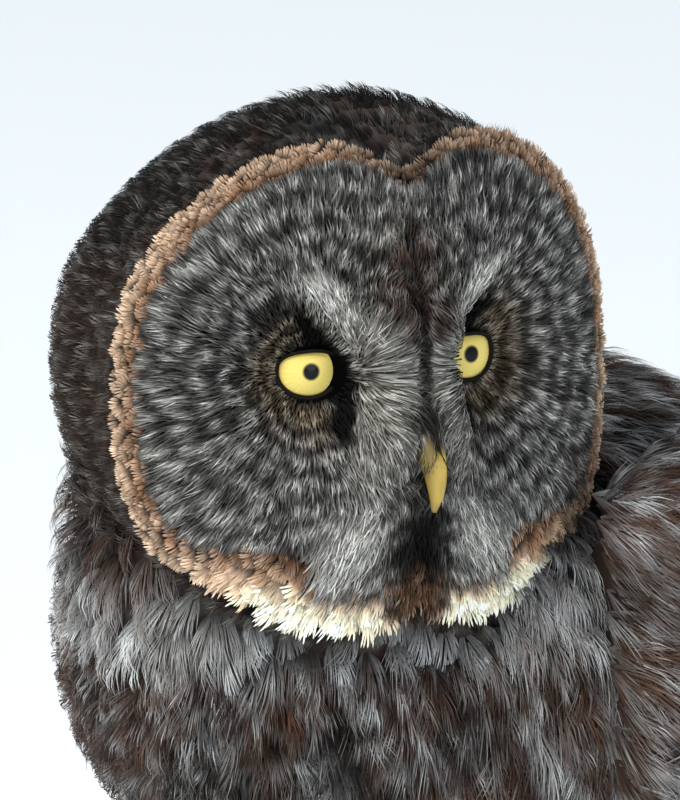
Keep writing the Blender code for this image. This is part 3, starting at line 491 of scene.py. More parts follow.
# Colour of the face at x, z of the head's frame.
def faceMarking(x, z):
    shape = np.stack([x, z], -1)
    ax = np.abs(x)
    fromEye = np.hypot((ax - eyes["out"]) / 1.06, z)
    warp = 2.0 * waves(shape, 26.0, 3) + 1.3 * waves(shape, 8.0, 4)
    ring = 0.5 + 0.5 * np.cos(2 * np.pi * (fromEye + warp - 12.0) / face["ringStep"])
    blotch = np.clip(0.5 + 0.6 * waves(shape, 4.6, 5), 0, 1)
    share = np.clip(0.05 + 0.95 * ring**1.3 * (0.25 + 0.9 * blotch), 0, 1)
    colour = mix(palette["black"], palette["ash"], share)
    tinge = np.exp(-((fromEye - 14.5) / 7.0) ** 2) * smooth((ax - 18) / 8)
    colour = mix(colour, mix(palette["black"], palette["olive"], np.clip(share + 0.15, 0, 1)), 0.8 * tinge)
    forehead = np.exp(-(x / 11.0) ** 2) * smooth((z - 2) / 12) * smooth((52 - z) / 20)
    colour = mix(colour, mix(palette["black"], palette["brown"], blotch), 0.75 * forehead)
    # pale crescents from over each eye down past the bill's root, with a dark pit towards the eye: black
    # feathers plus painted shade of the hollow
    line, half = np.interp(z, *face["crescentLine"]), np.interp(z, *face["crescentHalf"])
    away = (ax - line + 0.8 * waves(shape, 7.0, 9)) / half
    inside = smooth((z + 40) / 14) * smooth((33 - z) / 7)
    # painted shade: the pit by each eye's inner corner is darkened towards black as a shadowed hollow
    pit = np.exp(-((away - face["pitAway"]) / 0.55) ** 2) * smooth((z + 26) / 10) * smooth((22 - z) / 8)
    colour = mix(colour, palette["black"] * 0.4, np.clip(1.6 * pit, 0, 1))
    crescent = smooth((1.45 - np.abs(away)) / 0.8) * inside
    fine = np.clip(0.5 + 0.7 * waves(shape, 2.6, 11), 0, 1)
    bright = np.clip(-0.1 + 0.4 * smooth((z - 6) / 18) + 0.2 * blotch + 0.42 * fine, 0, 1)
    colour = mix(colour, mix(palette["grey"] * 0.5, palette["pale"], bright), 0.9 * crescent)
    middleDark = np.exp(-(x / 3.2) ** 2) * smooth((z + 24) / 8) * smooth((48 - z) / 34)
    colour = mix(colour, palette["black"] * 0.5, 0.92 * middleDark)
    root = np.exp(-(x / 6.0) ** 4) * smooth((-9 - z) / 6) * smooth((z + 40) / 8)
    colour = mix(colour, palette["black"], 0.95 * root)
    # grey tufts beside and under the bill, dark chin with rust under it
    lean = ax - 22.0 - 0.55 * (-52.0 - z)
    tuft = np.exp(-(lean / 9.0) ** 2 - ((z + 53.0) / 12.0) ** 2) * smooth((ax - 8) / 5)
    colour = mix(colour, mix(palette["ash"], palette["pale"], 0.2 + 0.7 * blotch), 0.9 * tuft)
    chinHalf = np.interp(z, [-76, -60, -46, -36], [10.0, 10.5, 8.0, 4.0])
    chin = np.exp(-(ax / chinHalf) ** 4) * smooth((-37 - z) / 6)
    rusty = mix(palette["black"], palette["rust"], 0.5 * smooth((-58 - z) / 8) * blotch)
    return mix(colour, rusty, chin)


# Colour of the ruff: out runs 0 at its inner edge to 1 at its outer edge.
def rimMarking(x, z, out):
    shape = np.stack([x, z], -1)
    white = smooth((-54 - z) / 8) * smooth((np.abs(x) - 8) / 4) * smooth((52 - np.abs(x)) / 10)
    outer = np.clip(1.3 * out - 0.1 + 0.3 * waves(shape, 12.0, 8), 0, 1)
    warm = mix(palette["rust"], palette["tan"], outer)
    warm = mix(warm, palette["brown"], 0.7 * smooth((0.3 - out) / 0.3))
    top = np.exp(-(x / 20.0) ** 2) * (z > 0)
    warm = mix(warm, palette["rust"] * 0.8, 0.4 * smooth((z - 30) / 25))
    warm = mix(warm, palette["umber"], 0.75 * top)
    colour = mix(warm, palette["cream"], white * smooth((out - 0.38) / 0.3))
    chin = np.exp(-(x / 11.0) ** 4) * (z < 0)
    return mix(colour, mix(palette["black"], palette["rust"], 0.35), chin)


# Ground colour of the plumage at a place of the owl; pale is 0 to 1 from dark to light in a feather.
def bodyMarking(points, pale):
    blotch = np.clip(0.45 + 0.5 * waves(points, 34.0, 21), 0, 1)
    dark = mix(palette["soot"], mix(palette["umber"], palette["brown"], 0.4), blotch)
    dark = dark * np.array([1.12, 0.97, 0.86])
    lightness = np.clip(0.5 + 0.5 * waves(points, 20.0, 22), 0, 1)
    light = mix(tone(144, 142, 139), tone(210, 212, 212), lightness)
    return mix(dark, light, np.clip(pale, 0, 1))


# painted shade: the skin is darkened to half the plumage colour, and under the disc to a tenth of the face
# colour, so gaps between feathers read as shadow
skinColour = 0.5 * bodyMarking(skinPoints, 0.12 + 0.1 * waves(skinPoints, 12.0, 30))
inHead = (skinPoints - headCentre) @ headTurn
onFace = ((inHead[:, 1] < faceDepth(inHead[:, 0], inHead[:, 2]) + 6)
          & (np.hypot(inHead[:, 0] / 88, (inHead[:, 2] + 7) / 80) < 1.0))
skinColour[onFace] = faceMarking(inHead[onFace, 0], inHead[onFace, 2]) * 0.1
keepMarking(skin.data, skinColour)
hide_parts("head", "neck", "torso", "leg_left", "leg_right", "foot_left", "foot_right")
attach(skin, "root")

# feathers

# Ribbons along paths: points (n, k, 3), half width (n, k). Each ends in a point and faces away from the
# skin.
def barbStrip(points, halfWidth, sideways):
    left = points + sideways * halfWidth[..., None]
    right = points - sideways * halfWidth[..., None]
    n, k = points.shape[:2]
    body = np.stack([left[:, :-1], right[:, :-1]], 2).reshape(n, -1, 3)
    made = np.concatenate([body, points[:, -1:]], 1)
    base = (np.arange(n) * (2 * k - 1))[:, None, None]
    i = np.arange(k - 2)
    quads = (base + np.stack([2 * i, 2 * i + 1, 2 * i + 3, 2 * i + 2], -1)[None]).reshape(-1, 4)
    tip = (base[:, 0] + np.array([2 * k - 4, 2 * k - 3, 2 * k - 2])[None]).reshape(-1, 3)
    return made.reshape(-1, 3), [quads, tip]


def stripValues(values):  # colours or map places at the stations, spread to the ribbons' points
    body = np.repeat(values[:, :-1], 2, axis=1)
    return np.concatenate([body, values[:, -1:]], 1).reshape(-1, values.shape[-1])


def addPiece(name, points, faces, finish, uv, colour, replaced=(), barbLines=None):
    piece = arrayMesh(name, points, faces, finish, uv, colour, barbLines)
    if replaced:
        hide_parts(*replaced)
    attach(piece, "root")
    print(name + ":", sum(len(f) * (f.shape[1] - 2) for f in faces), "triangles")


def addCoat(name, made, replaced=()):  # several (points, faces, uv, colour) as one piece of the coat
    points, faces = joinParts([m[:2] for m in made])
    uv, colour = [np.concatenate([m[k] for m in made]) for k in (2, 3)]
    addPiece(name, points, faces, coatFinish, uv, colour, replaced)


def bareForm(points, faces):  # a form under feathers, painted dark umber as shade in the gaps between them, kept in a corner of the map
    corner = np.tile([[0.995, 0.995]], (len(points), 1))
    return points, faces, corner, np.tile(palette["umber"] * 0.5, (len(points), 1))


# Barbs of feathers in their own frame: u along the shaft, v across it, h out from the skin. A barb leaves
# the shaft behind its end, spreads as 1 - (1 - t)^1.7 and ends on an oval; heights rise from the sunk root
# as 1 - (1 - u)^2, so that tips lie over the next row's roots, and droop by the square of u.
def fanShape(draw, count, form, length, width, lift, droop):
    barbs, stations = form["barbs"], form["stations"]
    length, width = length[:, None, None], width[:, None, None]
    spread = np.linspace(-2.3, 2.3, barbs)[None, :, None] + draw.uniform(-0.12, 0.12, (count, barbs, 1))
    reach = 1 + draw.uniform(-form["ragged"], form["ragged"], (count, barbs, 1))
    ahead = np.cos(spread)
    endU = length * (0.55 + np.where(ahead > 0, 0.45, 0.35) * ahead) * reach
    endV = 0.5 * width * np.sin(spread) * reach
    startU = np.clip(endU - form["lean"] * np.abs(endV) - form["behind"] * length, 0.0, None)
    t = np.linspace(0, 1, stations)[None, None, :]
    u = startU + (endU - startU) * t
    narrow = form.get("root", 0.0)
    v = endV * (narrow + (1 - narrow) * (1 - (1 - t) ** 1.7))
    share = u / length
    h = (-form["sink"] + (lift[:, None, None] + form["sink"]) * (1 - (1 - np.clip(share, 0, 1)) ** 2)
         - droop[:, None, None] * share**2 - form["crown"] * (2 * v / width) ** 2
         + draw.uniform(-0.35, 0.35, (count, barbs, 1)) * share)
    half = 0.5 * form["barbWidth"] * (1 - form.get("narrow", 0.55) * t) + 0 * u
    return u, v, h, half, share, 2 * v / width


# Feathers as fans of barbs on roots, each laid along its way over the skin.
def fanFeathers(draw, form, root, way, normal, length, width, lift, droop, colourOf, rootUv):
    count, barbs, stations = len(root), form["barbs"], form["stations"]
    way = unit(way - (way * normal).sum(-1, keepdims=True) * normal)
    turn = draw.normal(0, form["turn"], (count, 1))
    side = np.cross(normal, way)
    way, side = way * np.cos(turn) + side * np.sin(turn), side * np.cos(turn) - way * np.sin(turn)
    u, v, h, half, share, across = fanShape(draw, count, form, length, width, lift, droop)
    points = (root[:, None, None] + way[:, None, None] * u[..., None] + side[:, None, None] * v[..., None]
              + normal[:, None, None] * h[..., None])
    along = unit(np.gradient(points, axis=2))
    roll = form.get("roll", 0.35) * draw.uniform(-1, 1, (count, barbs, 1, 1))
    out = normal[:, None, None] + 0 * along
    flat = unit(np.cross(out, along))
    sideways = flat * np.cos(roll) + out * np.sin(roll)
    shades = 1 + form.get("vary", 0.34) * draw.uniform(-1, 1, (count, barbs, 1, 1))
    colour = np.clip(colourOf(share, across, points) * shades, 0, 1)
    n = count * barbs
    made, faces = barbStrip(points.reshape(n, stations, 3), half.reshape(n, stations),
                            sideways.reshape(n, stations, 3))
    local = np.stack([across, 2 * share - 1], -1).reshape(n, stations, 2) * (0.5 * patch)
    uv = stripValues(np.repeat(rootUv, barbs, axis=0)[:, None] + local)
    return made, faces, np.clip(uv, 0.0, 1.0), stripValues(colour.reshape(n, stations, 3))


# facial disc: single barbs that lie outwards from each eye

discCoat = {"cell": 0.66, "lengthNear": 5.0, "lengthFar": 10.5, "width": 0.46, "lift": 3.0}


# Single barbs on the face: they run from x, z along their way, curl a little, and rise by a lift.
def faceHairs(draw, x, z, wayX, wayZ, length, lift, width, rise, shadeAlong):
    stations = len(rise)
    t = np.linspace(0, 1, stations)
    curl = draw.normal(0, 0.07, len(x))
    px = x[:, None] + (wayX[:, None] * t - wayZ[:, None] * curl[:, None] * t**2) * length[:, None]
    pz = z[:, None] + (wayZ[:, None] * t + wayX[:, None] * curl[:, None] * t**2) * length[:, None]
    base = np.stack([px, faceDepth(px, pz) + disc["inset"], pz], -1)
    normal = faceNormal(px, pz)
    points = base + normal * (np.array(rise)[None, :] * lift[:, None])[..., None]
    along = unit(np.gradient(points, axis=1))
    roll = draw.uniform(-0.6, 0.6, (len(x), 1, 1))
    sideways = unit(np.cross(normal, along)) * np.cos(roll) + normal * np.sin(roll)
    taper = np.interp(t, [0, 0.35, 0.7, 1.0], [0.9, 1.0, 0.75, 0.0])
    half = 0.5 * width * taper[None, :] * draw.uniform(0.7, 1.3, (len(x), 1))
    # painted shade: each barb is darkened towards its root and brightened towards its tip, on top of its
    # random tone
    shade = draw.uniform(0.32, 1.68, (len(x), 1, 1)) * np.array(shadeAlong)[None, :, None]
    colour = np.clip(faceMarking(px, pz) * shade, 0.0015, 0.95)
    made, faces = barbStrip(headToOwl(points), half, sideways @ headTurn.T)
    rootUv = np.stack([0.5 + x / 180.0, 0.5 + (z + 6) / 180.0], -1)
    local = np.stack([0 * px, 2 * t[None, :] - 1 + 0 * px], -1) * (0.5 * patch)
    return made, faces, stripValues(rootUv[:, None] + local), stripValues(colour)


# Places of barbs on one half of the face, clear of eye and bill and inside the ruff.
def discRoots(draw, side):
    cell = discCoat["cell"]
    x, z = np.meshgrid(np.arange(0, 86, cell), np.arange(-88, 76, cell))
    x = side * (x + draw.uniform(0, 1, x.shape) * cell).ravel()
    z = (z + draw.uniform(-0.5, 0.5, z.shape) * cell).ravel()
    rimX, rimZ = discOutline(np.linspace(0, 2 * np.pi, 721))
    angle = np.arctan2(z + disc["drop"], x)
    rimAngle = np.arctan2(rimZ, rimX)
    order = np.argsort(rimAngle)
    rimReach = np.interp(angle, rimAngle[order], np.hypot(rimX, rimZ)[order], period=2 * np.pi)
    share = np.hypot(x, z + disc["drop"]) / rimReach
    ax = np.abs(x)
    # on the inner side the skin covers more of the ball, the more the eye looks outwards
    wide = np.where(ax < eyes["out"], eyes["wide"] - 0.16 * eyes["turn"][side], eyes["wide"] + 0.4)
    high = 1.05 * np.where(z > 0, eyes["above"], eyes["below"])
    eyeAway = np.hypot((ax - eyes["out"]) / wide, z / high)
    onBill = (ax < 4.2) & (z < -19) & (z > -28)
    rimHigh = np.interp(angle, rimAngle[order], rimZ[order], period=2 * np.pi)
    edge = 0.895 - 0.215 * smooth((-38 - rimHigh) / 25)
    keep = (share < edge) & (eyeAway > 1.0) & ~onBill
    return [v[keep] for v in (x, z, share, edge, rimReach)]


# Barbs run outwards from the eye, up on the forehead and down on the chin.
def discWays(draw, x, z, side):
    ax = np.abs(x)
    source = eyes["out"] - 9.0 * smooth((21 - ax) / 8) * smooth((z + 25) / 15)
    wayX = ax - source
    wayZ = z + 3.0 * smooth((21 - ax) / 8)
    forehead = smooth((10 - ax) / 8) * smooth((z - 12) / 12)
    chin = smooth((14 - ax) / 8) * smooth((-30 - z) / 12)
    reach = np.hypot(wayX, wayZ) + 1e-6
    wayX, wayZ = wayX / reach, wayZ / reach
    wayX, wayZ = wayX * (1 - forehead) + 0.1 * forehead, wayZ * (1 - forehead) + forehead
    wayX, wayZ = wayX * (1 - chin) + 0.1 * chin, wayZ * (1 - chin) - chin
    bend = 0.2 * waves(np.stack([x, z], -1), 12.0, 6) + draw.normal(0, 0.13, len(x))
    wayX, wayZ = wayX * np.cos(bend) - wayZ * np.sin(bend), wayX * np.sin(bend) + wayZ * np.cos(bend)
    norm = np.hypot(wayX, wayZ)
    return side * wayX / norm, wayZ / norm


def makeDisc(name, side):
    draw = np.random.default_rng(41 + side)
    x, z, share, edge, rimReach = discRoots(draw, side)
    wayX, wayZ = discWays(draw, x, z, side)
    fromEye = np.hypot(np.abs(x) - eyes["out"], z)
    length = np.interp(fromEye, [9, 18, 45], [discCoat["lengthNear"] * 0.55, discCoat["lengthNear"],
                                             discCoat["lengthFar"]])
    length = length * draw.uniform(0.75, 1.25, len(x))
    length = np.minimum(length, (edge - share) * rimReach + 2.6)
    lift = discCoat["lift"] * draw.uniform(0.6, 1.15, len(x)) * np.clip(length / 7.0, 0.5, 1.15)
    lift = lift * (0.5 + 0.5 * smooth((fromEye - 9) / 8))
    # the last values are painted shade along each barb, dark at its root
    made = faceHairs(draw, x, z, wayX, wayZ, length, lift, discCoat["width"], (-0.8, 0.55, 0.95, 0.95),
                     (0.25, 0.7, 1.1, 1.3))
    addCoat(name, [made])


makeDisc("face_barbs_left", 1)
makeDisc("face_barbs_right", -1)

# bristles that sweep down over the bill's root, and the longer tufts beside it and on the brows

bristleGroups = {  # count, |x| and z of the roots, way at its middle (none: away from the pit), length, lift
    "lore": (1900, (4.5, 15.0), (-26.0, 10.0), None, 9.0, 4.8),
    "bill": (380, (0.3, 5.0), (-18.0, -8.0), (-0.05, -1.0), 11.5, 9.8),
    "tuft": (900, (10.0, 30.0), (-60.0, -36.0), (0.45, -0.9), 11.0, 4.4),
    "chin": (520, (2.0, 10.0), (-66.0, -34.0), (0.1, -1.0), 10.0, 4.2),
    "brow": (800, (8.0, 27.0), (4.0, 24.0), (0.45, 0.9), 9.0, 4.0)}
bristle = {"width": 0.42, "pit": (15.5, -1.0)}  # the pit: the dark hollow at each eye's inner corner


def makeBristles():
    made = []
    for row, (group, values) in enumerate(bristleGroups.items()):
        count, wide, high, way, length, lift = values
        for side in (1, -1):
            draw = np.random.default_rng(90 + 2 * row + (side > 0))
            ax = draw.uniform(*wide, count)
            z = draw.uniform(*high, count)
            if group == "brow":  # these follow the pale crescent
                ax = np.interp(z, *face["crescentLine"]) + draw.uniform(-3.5, 3.5, count)
            clear = np.hypot((ax - eyes["out"]) / 10.6, z / 9.3) > 1.0
            ax, z = ax[clear], z[clear]
            spread = draw.normal(0, 0.12, len(ax))
            if way:
                mid = np.array(way) + np.zeros((len(ax), 2))
            else:
                mid = unit(np.stack([ax, z], -1) - np.array(bristle["pit"]))
            wayX = mid[:, 0] * np.cos(spread) - mid[:, 1] * np.sin(spread)
            wayZ = mid[:, 0] * np.sin(spread) + mid[:, 1] * np.cos(spread)
            # the last values are painted shade along each bristle, dark at its root
            made.append(faceHairs(
                draw, side * ax, z, side * wayX, wayZ, length * draw.uniform(0.7, 1.2, len(ax)),
                lift * draw.uniform(0.6, 1.1, len(ax)), bristle["width"],
                (0.0, 0.3, 0.6, 0.85, 1.0) if group == "bill" else (-0.3, 0.5, 0.9, 1.0, 0.85),
                (0.3, 0.7, 1.0, 1.2, 1.3)))
    addCoat("bristles", made)


makeBristles()

# ruff: rows of small rounded feathers whose tips curl over, round the disc

ruff = {"rows": (  # share of the way out from the disc's middle, feathers, length
            (0.882, 150, 5.2), (0.901, 156, 5.2), (0.920, 162, 5.2), (0.938, 166, 5.0), (0.953, 166, 4.5)),
        "width": 5.6, "lift": 2.9, "curl": 1.7, "barbs": 22, "stations": 6, "barbWidth": 0.62, "lean": 1.7,
        "behind": 0.5, "sink": 1.2, "crown": 0.7, "ragged": 0.05, "turn": 0.3, "roll": 0.15, "vary": 0.22,
        "narrow": 0.25}


# Roots, ways and normals in the head's frame, shares outwards from 0 to 1, x and z, and lengths.
def ruffRoots(draw):
    rows = []
    for row, (share, count, length) in enumerate(ruff["rows"]):
        angle = 2 * np.pi * (np.arange(count) + 0.5 * (row % 2)) / count
        angle = angle + draw.uniform(-0.012, 0.012, count)
        x, z = discOutline(angle)
        wider = 1 + 1.7 * smooth((-38 - z) / 25)
        here = 1 - (1 - share) * wider + draw.uniform(-0.008, 0.008, count)
        rootX, rootZ = x * here, z * here - disc["drop"]
        normal = faceNormal(rootX, rootZ)
        root = np.stack([rootX, faceDepth(rootX, rootZ) + 1.4, rootZ], -1)
        ahead = here + 0.03
        tip = np.stack([x * ahead, faceDepth(x * ahead, z * ahead - disc["drop"]) + 1.4,
                        z * ahead - disc["drop"]], -1)
        rows.append((root, unit(tip - root), normal, np.full(count, row / (len(ruff["rows"]) - 1)),
                     np.stack([rootX, rootZ], -1), length * wider**0.38 * draw.uniform(0.85, 1.2, count)))
    return [np.concatenate(v) for v in zip(*rows)]


def makeRuff():
    draw = np.random.default_rng(43)
    root, way, normal, out, place, length = ruffRoots(draw)
    count = len(root)
    notch = np.exp(-(place[:, 0] / 22.0) ** 2) * (place[:, 1] > 0)
    lift = ruff["lift"] * draw.uniform(0.75, 1.25, count) * (1 - 0.4 * notch)
    width = ruff["width"] * draw.uniform(0.8, 1.25, count)
    shade = draw.uniform(0.72, 1.25, count)
    white = smooth((-50 - place[:, 1]) / 8) * (out > 0.4)  # the pale feathers of the lower rim

    def colourOf(share, across, points):
        here = np.clip(0.12 * share + 0.88 * out[:, None, None], 0, 1)
        base = rimMarking(place[:, None, None, 0] + 0 * here, place[:, None, None, 1] + 0 * here, here)
        base = mix(base, palette["pale"], 0.16 * smooth((share - 0.72) / 0.2))
        # painted shade: each feather runs from dark at its root (deep) to full at its tip (full), and is
        # darker at its sides
        deep = 0.1 + 0.7 * white[:, None, None]
        full = 1.05 + 0.45 * white[:, None, None]
        edge = (deep + (full - deep) * smooth((share - 0.3) / 0.45)) * (1 - 0.3 * across**4)
        return base * (edge * shade[:, None, None])[..., None]

    form = dict(ruff, ragged=(ruff["ragged"] + 0.22 * white)[:, None, None])
    rootUv = np.stack([0.5 + place[:, 0] / 190.0, 0.5 + (place[:, 1] + 6) / 190.0], -1)
    curl = ruff["curl"] * draw.uniform(0.6, 1.3, count)
    made = fanFeathers(draw, form, headToOwl(root), way @ headTurn.T, normal @ headTurn.T,
                       length * (1 + 0.12 * white), width, lift, curl, colourOf, rootUv)
    addCoat("ruff_feathers", [made])


makeRuff()

# crown, sides and back of the head

crown = {"rows": 36, "spacing": 4.6, "length": 12.5, "width": 6.6, "lift": 3.1, "barbs": 24, "stations": 3,
         "barbWidth": 0.36, "lean": 2.0, "behind": 0.45, "sink": 1.2, "crown": 0.9, "ragged": 0.1,
         "turn": 0.14}


# Angles of roots spaced evenly round a ring, every other row half a step on.
def ringRoots(draw, probe, ring, spacing, row, jitter):
    along = np.r_[0, np.cumsum(np.linalg.norm(np.diff(ring, axis=0), axis=1))]
    count = max(6, int(along[-1] / spacing))
    spots = (np.arange(count) + 0.5 * (row % 2) + draw.uniform(-jitter, jitter, count)) / count * along[-1]
    return np.interp(spots, along, probe)


def makeCrown():
    draw = np.random.default_rng(47)
    angles, ws = [], []
    w = np.linspace(0.0, 0.96, crown["rows"])
    probe = np.linspace(0, 2 * np.pi, 120)
    for row, here in enumerate(w):
        ring = crownPoint(probe, np.full_like(probe, here))
        angles.append(ringRoots(draw, probe, ring, crown["spacing"], row, 0.25))
        ws.append(here + draw.uniform(-0.008, 0.008, len(angles[-1])))
    angle, w = np.concatenate(angles), np.clip(np.concatenate(ws), 0.002, 0.97)
    point, way, normal = surfaceFrame(crownPoint, angle, w)
    normal = normal * np.sign((normal * (point - np.array([0, 10.0, 0]))).sum(-1, keepdims=True))
    down = np.array([0.0, 0.0, -1.0])
    way = unit(way + down * (0.9 * smooth((w - 0.35) / 0.5))[:, None])
    inside = point * (1 - skinValues["crownInset"] / head["halfHeight"])
    root, skinNormal, near = onSkin(headToOwl(inside), 5.0)
    root, way, normal = root[near], (way @ headTurn.T)[near], skinNormal[near]
    angle, w, point = angle[near], w[near], point[near]
    count = len(root)
    top = smooth((point[:, 2] - 10) / 40)
    fleck = draw.uniform(0.3, 1.1, count)
    low = smooth((-12 - point[:, 2]) / 25) * smooth((w - 0.12) / 0.2)
    length = crown["length"] * draw.uniform(0.85, 1.15, count) * (0.65 + 0.45 * smooth(w * 4))
    length = length * (1 + 0.6 * low)
    lift = crown["lift"] * draw.uniform(0.85, 1.15, count) * (0.5 + 0.5 * smooth(w / 0.2))
    lift = lift * (1 + 0.8 * low) + 3.0 * smooth((np.abs(point[:, 0]) - 58) / 20) * smooth(w / 0.3)
    droop = (length**2 / (2 * 84.0) + 0.9 + 0.3 * top) * (0.3 + 0.7 * smooth(w / 0.2))

    def colourOf(share, across, points):
        mottle = np.clip(0.5 + 0.8 * waves(points, 6.5, 48) + 0.35 * waves(points, 3.0, 49), 0, 1)
        high = top[:, None, None]
        ground = mix(palette["umber"] * 0.8, palette["black"], 0.2 + 0.75 * high + 0 * share)
        light = mix(mix(palette["grey"], palette["ash"], mottle), palette["pale"], 0.25 + 0 * share)
        where = mottle ** (1.2 + 2.4 * high) * (0.34 + 0.06 * high) * fleck[:, None, None]
        where = where * smooth((share - 0.3) / 0.4)
        # painted shade: darker towards each feather's root
        return mix(ground, light, where) * (0.32 + 0.6 * smooth(share / 0.6))[..., None]

    rootUv = np.stack([0.5 + 0.48 * w * np.cos(angle), 0.5 + 0.48 * w * np.sin(angle)], -1)
    width = np.full(count, crown["width"])
    made = fanFeathers(draw, crown, root, way, normal, length, width, lift, droop, colourOf, rootUv)
    addCoat("crown_feathers", [made])


makeCrown()

# trunk: neck, breast, back, flanks and belly

body = {"rowStep": 6.2, "spacing": 6.4, "length": 24.0, "width": 12.0, "lift": 6.6, "stations": 3,
        "barbWidth": 0.42, "lean": 2.3, "behind": 0.5, "sink": 2.0, "crown": 1.1, "ragged": 0.3,
        "turn": 0.2, "vary": 0.18}


def trunkRoots(draw, sFrom, sTo, keepAngle):
    probe = np.linspace(0, 2 * np.pi, 160)
    angles, along = [], []
    s = sFrom
    row = 0
    while s < sTo:
        ring = trunkPoint(probe, np.full_like(probe, s))
        angles.append(ringRoots(draw, probe, ring, body["spacing"], row, 0.3))
        along.append(np.full(len(angles[-1]), s))
        nextRing = trunkPoint(probe, np.full_like(probe, s + 0.01))
        s += 0.01 * body["rowStep"] / max(np.linalg.norm(nextRing - ring, axis=1).mean(), 0.5)
        row += 1
    angle, s = np.concatenate(angles), np.concatenate(along)
    s = np.clip(s + draw.uniform(-0.006, 0.006, len(s)), 0.0, 0.995)
    keep = keepAngle(angle % (2 * np.pi), s)
    return angle[keep], s[keep]


def makeTrunk(name, seed, sFrom, sTo, barbs, keepAngle):
    draw = np.random.default_rng(seed)
    angle, s = trunkRoots(draw, sFrom, sTo, keepAngle)
    point, way, normal = surfaceFrame(lambda a, b: trunkPoint(a, b, -skinValues["trunkInset"]), angle, s)
    root, normal, near = onSkin(point, 4.0)
    root, way, normal, angle, s = root[near], way[near], normal[near], angle[near], s[near]
    count = len(root)
    back = smooth((np.sin(angle) - 0.05) / 0.5)
    neck = smooth((0.42 - s) / 0.12)
    size = (1 - 0.3 * neck) * (1 - 0.22 * back)
    length = body["length"] * draw.uniform(0.8, 1.2, count) * size
    width = body["width"] * draw.uniform(0.9, 1.1, count) * size
    lift = body["lift"] * draw.uniform(0.8, 1.2, count) * (1 - 0.15 * back) + 3.5 * neck
    droop = length**2 / (2 * 92.0) + 0.6 + 1.6 * neck
    underDisc = (1 - back) * smooth((root[:, 2] - 205) / 9) * smooth((240 - root[:, 2]) / 10)
    paleness = 0.5 + 0.35 * waves(root, 36.0, 61) + draw.normal(0, 0.16, count) + 0.4 * underDisc
    paleness = np.clip(paleness, 0, 1.15)
    spot = draw.uniform(0, 1, count)

    def colourOf(share, across, points):
        pale = paleness[:, None, None]
        fine = (neck * 0.9 + 0.1)[:, None, None]
        coarse = 0.9 * waves(points, 17.0, 62) + 0.35 * waves(points, 7.0, 63)
        mottle = smooth(0.33 + 0.85 * (coarse * (1 - fine) + 0.8 * waves(points, 8.0, 64) * fine))
        streak = np.exp(-(across / 0.28) ** 2)
        band = underDisc[:, None, None]
        front = mottle**1.2 * (1.0 - 0.3 * streak) * (0.3 + 0.7 * pale) + 0.95 * band * (1.0 - 0.4 * streak)
        front = front * (0.5 + 0.5 * smooth((share - 0.3) / 0.4))
        speckle = np.clip(0.4 + 0.9 * waves(points, 9.0, 65) + 0.3 * spot[:, None, None], 0, 1)
        behind = speckle**1.3 * smooth((share - 0.3) / 0.3) * (0.5 + 0.5 * (pale > 0.45))
        onBack = back[:, None, None]
        colour = bodyMarking(root[:, None, None] + 0 * points, front * (1 - onBack) + behind * onBack)
        # painted shade: darker towards each feather's root
        return (0.88 + 0.3 * onBack)[..., None] * colour * (0.35 + 0.8 * smooth(share / 0.6))[..., None]

    rootUv = np.stack([0.01 + 0.98 * (angle % (2 * np.pi)) / (2 * np.pi), 0.01 + 0.98 * s], -1)
    form = dict(body, barbs=barbs)
    made = fanFeathers(draw, form, root, way, normal, length, width, lift, droop, colourOf, rootUv)
    addCoat(name, [made])


makeTrunk("breast_feathers", 51, 0.06, 0.62, 42, lambda a, s: a > np.pi)
makeTrunk("mantle_feathers", 52, 0.06, 0.62, 34, lambda a, s: a <= np.pi)
makeTrunk("rump_feathers", 53, 0.62, 0.99, 30, lambda a, s: a >= 0)

# folded wings: a pad, flight feathers as vanes, and coverts over them

wing = {"round": 0.0082, "clear": 3.0, "padLength": 215.0, "padHalf": 60.0, "padThick": 9.0, "tilt": 0.95}
wingRows = np.array([  # x, y, z down the middle of the left wing from the wrist, and the way it faces
    (82, -72, 210, 0.90, -0.42, 0.02), (97, -42, 209, 0.98, -0.18, 0.08), (108, 2, 200, 0.98, 0.02, 0.2),
    (108, 48, 186, 0.94, 0.1, 0.32), (97, 105, 161, 0.84, 0.18, 0.5), (77, 170, 129, 0.68, 0.24, 0.7),
    (58, 240, 98, 0.54, 0.26, 0.8), (45, 310, 70, 0.46, 0.26, 0.86),
    (40, 345, 57, 0.44, 0.26, 0.87)], float)
wingFine = curveThrough(wingRows, np.linspace(0, 1, 240))
wingReach = np.r_[0, np.cumsum(np.linalg.norm(np.diff(wingFine[:, :3], axis=0), axis=1))]


# Point and outward way of the rounded wing before it is lifted clear: q bends round the facing way.
def wingBase(p, q):
    rows, ahead, behind = [np.stack([np.interp(p + step, wingReach, wingFine[:, k]) for k in range(6)], -1)
                           for step in (0.0, 4.0, -4.0)]
    along = unit(ahead[..., :3] - behind[..., :3])
    facing = rows[..., 3:]
    facing = unit(facing - (facing * along).sum(-1, keepdims=True) * along)
    upward = np.cross(along, facing)
    upward = upward * np.sign(upward[..., 2:])
    bend = wing["round"] * q
    up = (np.sin(bend) / wing["round"])[..., None]
    inward = ((1 - np.cos(bend)) / wing["round"])[..., None]
    normal = facing * np.cos(bend)[..., None] + upward * np.sin(bend)[..., None]
    return rows[..., :3] + upward * up - facing * inward, normal


gridStep = 5.0
gridP, gridQ = np.arange(-20.0, 481.0, gridStep), np.arange(-85.0, 86.0, gridStep)


